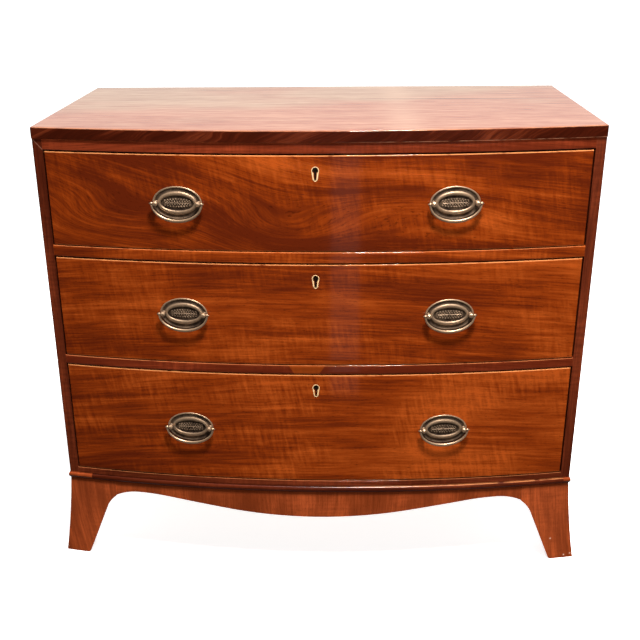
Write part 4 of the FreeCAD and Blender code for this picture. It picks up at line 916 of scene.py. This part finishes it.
class AddEscutcheons(Piece, bpy.types.Operator):
    """Bone inlays: a ring from a two-circle outline to the keyhole, with a softly domed face and deep wall"""

    bl_idname = "chest.add_escutcheons"
    bl_label = "Add the bone inlays"

    def build(self, sizes):
        share, depth, dirt = np.array([
            # share of the way to the keyhole, depth in mm, dirt; the dirt down the keyhole is painted shade
            (0.0, 2.4, 1.0), (0.0, 0.05, 1.0), (0.05, -0.1, 0.75), (0.15, -0.22, 0.1), (0.3, -0.3, 0.0),
            (0.6, -0.3, 0.0), (0.85, -0.22, 0.1), (0.95, -0.1, 0.4), (1.0, 0.3, 1.0), (1.0, 2.0, 1.0),
            (2.2, 2.1, 1.0), (0.0, 2.4, 1.0)]).T
        for drawer in DRAWERS:
            outline, _, keyhole = inlay(drawer)
            flat = outline + (keyhole - outline) * share[:, None, None]
            points = bowed(flat[..., 0], flat[..., 1], sizes.veneer_proud - sizes.drawer_recess,
                           depth[:, None] * MM)
            new_piece(f"{drawer}_inlay", [sheet(points, wrap=True)], "old_bone", drawer,
                      [f"{drawer}_escutcheon"], np.repeat(dirt, len(outline)))


class AddPlates(Piece, bpy.types.Operator):
    """Handle plates: ovals of falling size and changing height, and two ears of pressed seeds inside"""

    bl_idname = "chest.add_plates"
    bl_label = "Add the handle plates"

    def build(self, sizes):
        wide, high, rise, dirt = np.array([
            # share of the half width, share of the half height, height in mm, dirt
            (0.985, 0.985, 0.05, 1.0), (1.0, 1.0, 0.3, 0.8), (1.0, 1.0, 1.1, 0.2), (0.992, 0.988, 1.6, 0.0),
            (0.978, 0.965, 1.95, 0.0), (0.955, 0.935, 1.95, 0.05), (0.935, 0.905, 1.6, 0.3),
            (0.92, 0.885, 1.05, 1.0), (0.87, 0.81, 0.95, 1.0), (0.83, 0.74, 1.0, 1.0),
            (0.80, 0.70, 1.35, 0.7), (0.78, 0.665, 2.3, 0.3), (0.762, 0.635, 2.95, 0.05),
            (0.735, 0.59, 3.25, 0.0), (0.712, 0.55, 3.3, 0.0), (0.692, 0.51, 3.2, 0.0),
            (0.677, 0.478, 2.8, 0.15), (0.666, 0.455, 1.9, 0.9), (0.655, 0.435, 1.35, 1.0)]).T[..., None]
        angle = np.linspace(0, 2 * np.pi, 144, endpoint=False)
        flat = ellipse(wide * sizes.plate_width / 2, high * sizes.plate_height / 2, angle)
        rim = np.concatenate([flat, np.broadcast_to(rise[..., None] * MM, (*flat.shape[:2], 1))], axis=-1)
        # the outer rim is darker towards the bottom, behind the bail
        lower_rim_darker = np.where(wide > 0.93, np.clip(-2.0 * np.sin(angle), 0, 0.9), 0.0)
        x, y = (np.linspace(1, 0, 44)[:, None] * part for part in flat[-1].T)
        relief = self.relief(x, y)
        inner = np.stack([x, y, 0.00115 + sizes.seed * relief], axis=-1)
        back = np.stack([rim[0], rim[0] * (0, 0, 1)])
        marks = np.concatenate([np.maximum(dirt, lower_rim_darker).ravel(), np.clip(1.0 - 0.62 * relief, 0, 1).ravel(),
                                np.ones(2 * len(angle))])
        for drawer in DRAWERS:
            parts = [placed(sheet(shape, wrap=True), handle_place(drawer, side))
                     for side in SIDES for shape in (rim, inner, back)]
            new_piece(f"{drawer}_pressed_plates", parts, "aged_brass", drawer,
                      [f"{drawer}_handle_plates"], np.tile(marks, 2), sharp=60.0)

    def relief(self, x, y):
        """Height of the pressed work: the highest of a stem, two rows of seeds a side and a boss.

        Stem and boss are exp of minus a squared distance. A row lies at level less a part of the square of
        the place along it; its seeds are the same humps about each whole step of pitch, and lean outwards.
        """
        along, away = np.abs(x), np.abs(y)
        relief = 0.8 * np.exp(-(y / 0.0007) ** 2) * np.clip((0.025 - along) / 0.004, 0, 1)
        for level, pitch, shift in ((0.0029, 0.0046, 0.0), (0.0066, 0.0050, 0.0021)):
            row = level * (1 - 0.55 * (along / 0.028) ** 2)
            step = (along - 0.3 * (away - row) - shift) / pitch
            seed = np.exp(-((step - np.round(step)) / 0.27) ** 2 - ((away - row) / 0.00155) ** 2)
            relief = np.maximum(relief, seed * np.clip((0.0262 - along) / 0.003, 0, 1))
        return np.maximum(relief, np.exp(-(x ** 2 + y ** 2) / 0.0022 ** 2))


class AddPosts(Piece, bpy.types.Operator):
    """Post heads: a turned foot, waist and ball over each many-sided post"""

    bl_idname = "chest.add_posts"
    bl_label = "Add the post heads"

    def build(self, sizes):
        head, pivot, sides = sizes.post_head, sizes.pivot_reach, 36
        turn = np.linspace(-1.15, np.pi / 2, 12)
        ball = [(head * math.cos(a), pivot + (head - 0.0004) * math.sin(a)) for a in turn]
        profile = ([(0.0, 0.0008), (0.0046, 0.0008), (0.0048, 0.0016), (0.0045, 0.0024), (0.0038, 0.0030),
                    (0.0033, 0.0037)] + ball[:-1] + [(0.0, ball[-1][1])])
        dirt = [1.0, 1.0, 0.7, 0.7, 0.9, 1.0, 0.8, 0.5]
        dirt += [0.1] * (len(profile) - len(dirt))
        for drawer in DRAWERS:
            parts = []
            for side in SIDES:
                origin, axes = handle_place(drawer, side)
                for sign in (-1, 1):
                    middle = origin + axes[0] * (sign * sizes.post_spacing / 2)
                    parts.append(placed(lathe(profile, sides), (middle, axes)))
            new_piece(f"{drawer}_post_heads", parts, "aged_brass", drawer,
                      marks=np.tile(np.repeat(dirt, sides), len(parts)), sharp=50.0)


class AddBails(Piece, bpy.types.Operator):
    """Drop handles: an oval section carried round half an ellipse, a knuckle at each end and a small nub"""

    bl_idname = "chest.add_bails"
    bl_label = "Add the drop handles"

    def build(self, sizes):
        steps, sides = 73, 20
        half = (np.array([sizes.plate_width, sizes.plate_height]) / 2 - sizes.bail_lap
                + np.array([sizes.bail_leg, sizes.bail_belly]) / 2)
        along = np.linspace(np.pi, 2 * np.pi, steps)
        path = ellipse(*half, along)
        normal = ellipse(*(1 / half), along)
        normal /= np.linalg.norm(normal, axis=1)[:, None]
        wide = (sizes.bail_leg + (sizes.bail_belly - sizes.bail_leg) * np.sin(along) ** 2) / 2
        turn = np.linspace(0, 2 * np.pi, sides, endpoint=False)
        flat = path[:, None, :] + normal[:, None, :] * (wide[:, None] * np.cos(turn))[..., None]
        out = np.broadcast_to(sizes.pivot_reach + sizes.bail_thick / 2 * np.sin(turn), (steps, sides))
        ring = np.concatenate([flat, out[..., None]], axis=-1)
        ends = np.concatenate([path[[0, -1]], np.full((2, 1), sizes.pivot_reach)], axis=1)
        hubs = np.repeat(ends[:, None], sides, axis=1)
        tube = np.concatenate([hubs[:1], ring, hubs[1:]])
        radius, place, dirt = np.array([
            # radius and place beyond the leg's middle, both in mm, and dirt
            (0.0, -6.2, 0.9), (1.5, -6.2, 0.9), (1.5, -2.6, 0.8), (2.1, -2.3, 0.5), (2.55, -1.6, 0.2),
            (2.8, -0.4, 0.1), (2.8, 0.6, 0.1), (2.5, 1.8, 0.3), (1.9, 2.3, 0.8), (1.3, 2.5, 0.8),
            (1.2, 3.4, 0.5), (0.8, 3.9, 0.4), (0.0, 4.1, 0.4)]).T
        points, faces = lathe(np.stack([radius * MM, half[0] + place * MM], axis=-1), sides)
        up, out, across = points.T
        parts = [sheet(tube, wrap=True)]
        for sign in (-1, 1):
            parts.append((np.stack([sign * across, up, out + sizes.pivot_reach], axis=-1), faces))
        marks = np.concatenate([np.zeros(len(parts[0][0])), np.tile(np.repeat(dirt, sides), 2)])
        for drawer in DRAWERS:
            for side in SIDES:
                place = handle_place(drawer, side)
                new_piece(f"{drawer}_drop_{side}", [placed(part, place) for part in parts], "aged_brass",
                          f"bail_{drawer[-1]}_{side}", [f"{drawer}_bail_{side}"], marks, sharp=50.0)


class FinishFrame(Piece, bpy.types.Operator):
    """Woods and iron of the frame's own nodes"""

    bl_idname = "chest.finish_frame"
    bl_label = "Finish the frame"

    def build(self, sizes):
        for finish, nodes in CASE_NODES.items():
            self.give(finish, nodes)
        for rail in RAILS:
            self.give(f"{rail}_wood", (rail,))
        for drawer in DRAWERS:
            self.give(f"{drawer}_veneer", (f"{drawer}_front",))
            for finish, nodes in DRAWER_NODES.items():
                self.give(finish, [f"{drawer}_{node}" for node in nodes])

    def give(self, finish, nodes):
        """Gives the frame's own nodes a finish; their meshes stay as they are."""
        for name in nodes:
            slots = frame["nodes"][name].data.materials
            slots.clear()
            slots.append(material(finish))


class SetStage(Piece, bpy.types.Operator):
    """Camera, soft lamps, pale floor and room"""

    bl_idname = "chest.set_stage"
    bl_label = "Set the stage"

    def build(self, sizes):
        stage = bpy.context.scene.chest_stage
        scene = bpy.context.scene
        scene.view_settings.view_transform = "Standard"
        self.camera(scene, stage)
        self.room(scene, stage)
        # a level floor before and behind the chest
        x, y = np.meshgrid(np.linspace(-12, 12, 9), np.linspace(-6, 26, 9))
        self.pale("floor", np.stack([x, y, x * 0], axis=-1), stage.floor_glow, ("glossy", "diffuse"))
        # a half round screen behind the camera, reach times cosine and sine, which only the camera sees
        reach = 5.9
        angle, height = np.meshgrid(np.linspace(np.pi * 0.93, np.pi * 2.07, 49), np.linspace(-0.2, 9.0, 5))
        self.pale("backdrop", np.stack([reach * np.cos(angle), reach * np.sin(angle), height], axis=-1), 0.9,
                  ("glossy", "diffuse", "shadow", "transmission", "volume_scatter"))
        # place, target, width, height and power of each lamp; the last two are unseen by one kind of ray
        self.lamp("key_lamp", (0.36, -1.15, 3.20), (0.0, -0.20, 0.45), 0.50, 0.36, stage.key_power)
        fill = self.lamp("fill_lamp", (0.6, -3.3, 0.75), (0.0, 0.0, 0.35), 2.0, 1.3, stage.fill_power)
        fill.visible_glossy = False
        streak = self.lamp("streak_lamp", (0.17, -3.0, -0.25), (0.05, -0.28, 0.6), 0.24, 1.1,
                           stage.streak_power)
        streak.visible_diffuse = False

    def camera(self, scene, stage):
        """A view from a little right of the middle, pitched down, with its frame shifted a little."""
        place = (0.05092, -1.99291, 1.14390)
        yaw, pitch, roll = 0.0476, 0.4171, -0.0115
        level = math.cos(pitch)
        forward = Vector((-math.sin(yaw) * level, math.cos(yaw) * level, -math.sin(pitch)))
        right = Vector((math.cos(yaw), math.sin(yaw), 0.0))
        up = right.cross(forward)
        turned = math.cos(roll) * right + math.sin(roll) * up
        upright = math.cos(roll) * up - math.sin(roll) * right
        data = bpy.data.cameras.new("camera")
        data.lens, data.sensor_width = stage.lens, 36.0
        data.shift_x, data.shift_y = 0.0317, 0.1059
        data.clip_start, data.clip_end = 0.05, 60.0
        camera = in_scene("camera", data)
        turn = Matrix((turned, upright, -forward)).transposed().to_4x4()
        camera.matrix_world = Matrix.Translation(place) @ turn
        scene.camera = camera

    def room(self, scene, stage):
        """White behind the chest and dimmer before it, by the direction's y."""
        world = bpy.data.worlds.new("room")
        world.use_nodes = True
        tree = world.node_tree
        place = tree.nodes.new("ShaderNodeTexCoord")
        parts = tree.nodes.new("ShaderNodeSeparateXYZ")
        level = tree.nodes.new("ShaderNodeMapRange")
        level.interpolation_type = "SMOOTHSTEP"
        tree.links.new(place.outputs["Generated"], parts.inputs[0])
        tree.links.new(parts.outputs[1], level.inputs[0])
        for value, socket in zip((-0.35, 0.25, stage.front_level, stage.back_level), level.inputs[1:5]):
            socket.default_value = value
        background = tree.nodes["Background"]
        tree.links.new(level.outputs[0], background.inputs["Strength"])
        background.inputs["Color"].default_value = (1.0, 1.0, 1.0, 1.0)
        scene.world = world

    def pale(self, name, points, glow, unseen):
        """A nearly white sheet that glows a little and is unseen by the kinds of ray named."""
        points, faces = sheet(points)
        mesh = bpy.data.meshes.new(name)
        mesh.from_pydata(points.tolist(), [], faces.tolist())
        f = Finish(f"pale_{name}")
        tone = f.blend(f.noise(f.place, 3.0, 2.0), (0.93, 0.93, 0.93), (0.96, 0.96, 0.96))
        mesh.materials.append(f.surface(tone, 0.6, Specular_IOR_Level=0.0, Emission_Strength=glow,
                                        Emission_Color=(1.0, 1.0, 1.0, 1.0)))
        made = in_scene(name, mesh)
        for ray in unseen:
            setattr(made, f"visible_{ray}", False)

    def lamp(self, name, place, target, width, height, power):
        data = bpy.data.lights.new(name, "AREA")
        data.shape, data.size, data.size_y, data.energy = "RECTANGLE", width, height, power
        lamp = in_scene(name, data)
        lamp.location = place
        lamp.rotation_euler = (Vector(target) - Vector(place)).to_track_quat("-Z", "Y").to_euler()
        return lamp


OPERATORS = (AddTop, AddMoulding, AddRailFacings, AddDrawerVeneers, AddEscutcheons, AddPlates, AddPosts,
             AddBails, FinishFrame, SetStage)


class ChestPanel(bpy.types.Panel):
    """Lists the pieces and the settings"""

    bl_idname = "VIEW3D_PT_chest"
    bl_label = "Bow front chest"
    bl_space_type = "VIEW_3D"
    bl_region_type = "UI"
    bl_category = "Chest"

    def draw(self, context):
        for operator in OPERATORS:
            self.layout.operator(operator.bl_idname)
        for group in (context.scene.chest_sizes, context.scene.chest_finish, context.scene.chest_stage):
            box = self.layout.box()
            for key in group.__annotations__:
                box.prop(group, key)


CLASSES = (ChestSizes, ChestFinish, ChestStage, *OPERATORS, ChestPanel)


def register():
    for item in CLASSES:
        bpy.utils.register_class(item)
    bpy.types.Scene.chest_sizes = bpy.props.PointerProperty(type=ChestSizes)
    bpy.types.Scene.chest_finish = bpy.props.PointerProperty(type=ChestFinish)
    bpy.types.Scene.chest_stage = bpy.props.PointerProperty(type=ChestStage)


def unregister():
    for key in ("chest_sizes", "chest_finish", "chest_stage"):
        delattr(bpy.types.Scene, key)
    for item in reversed(CLASSES):
        bpy.utils.unregister_class(item)


def main():
    """Builds every piece in order."""
    register()
    for operator in OPERATORS:
        getattr(bpy.ops.chest, operator.bl_idname.split(".")[1])()


if __name__ == "__main__":
    main()
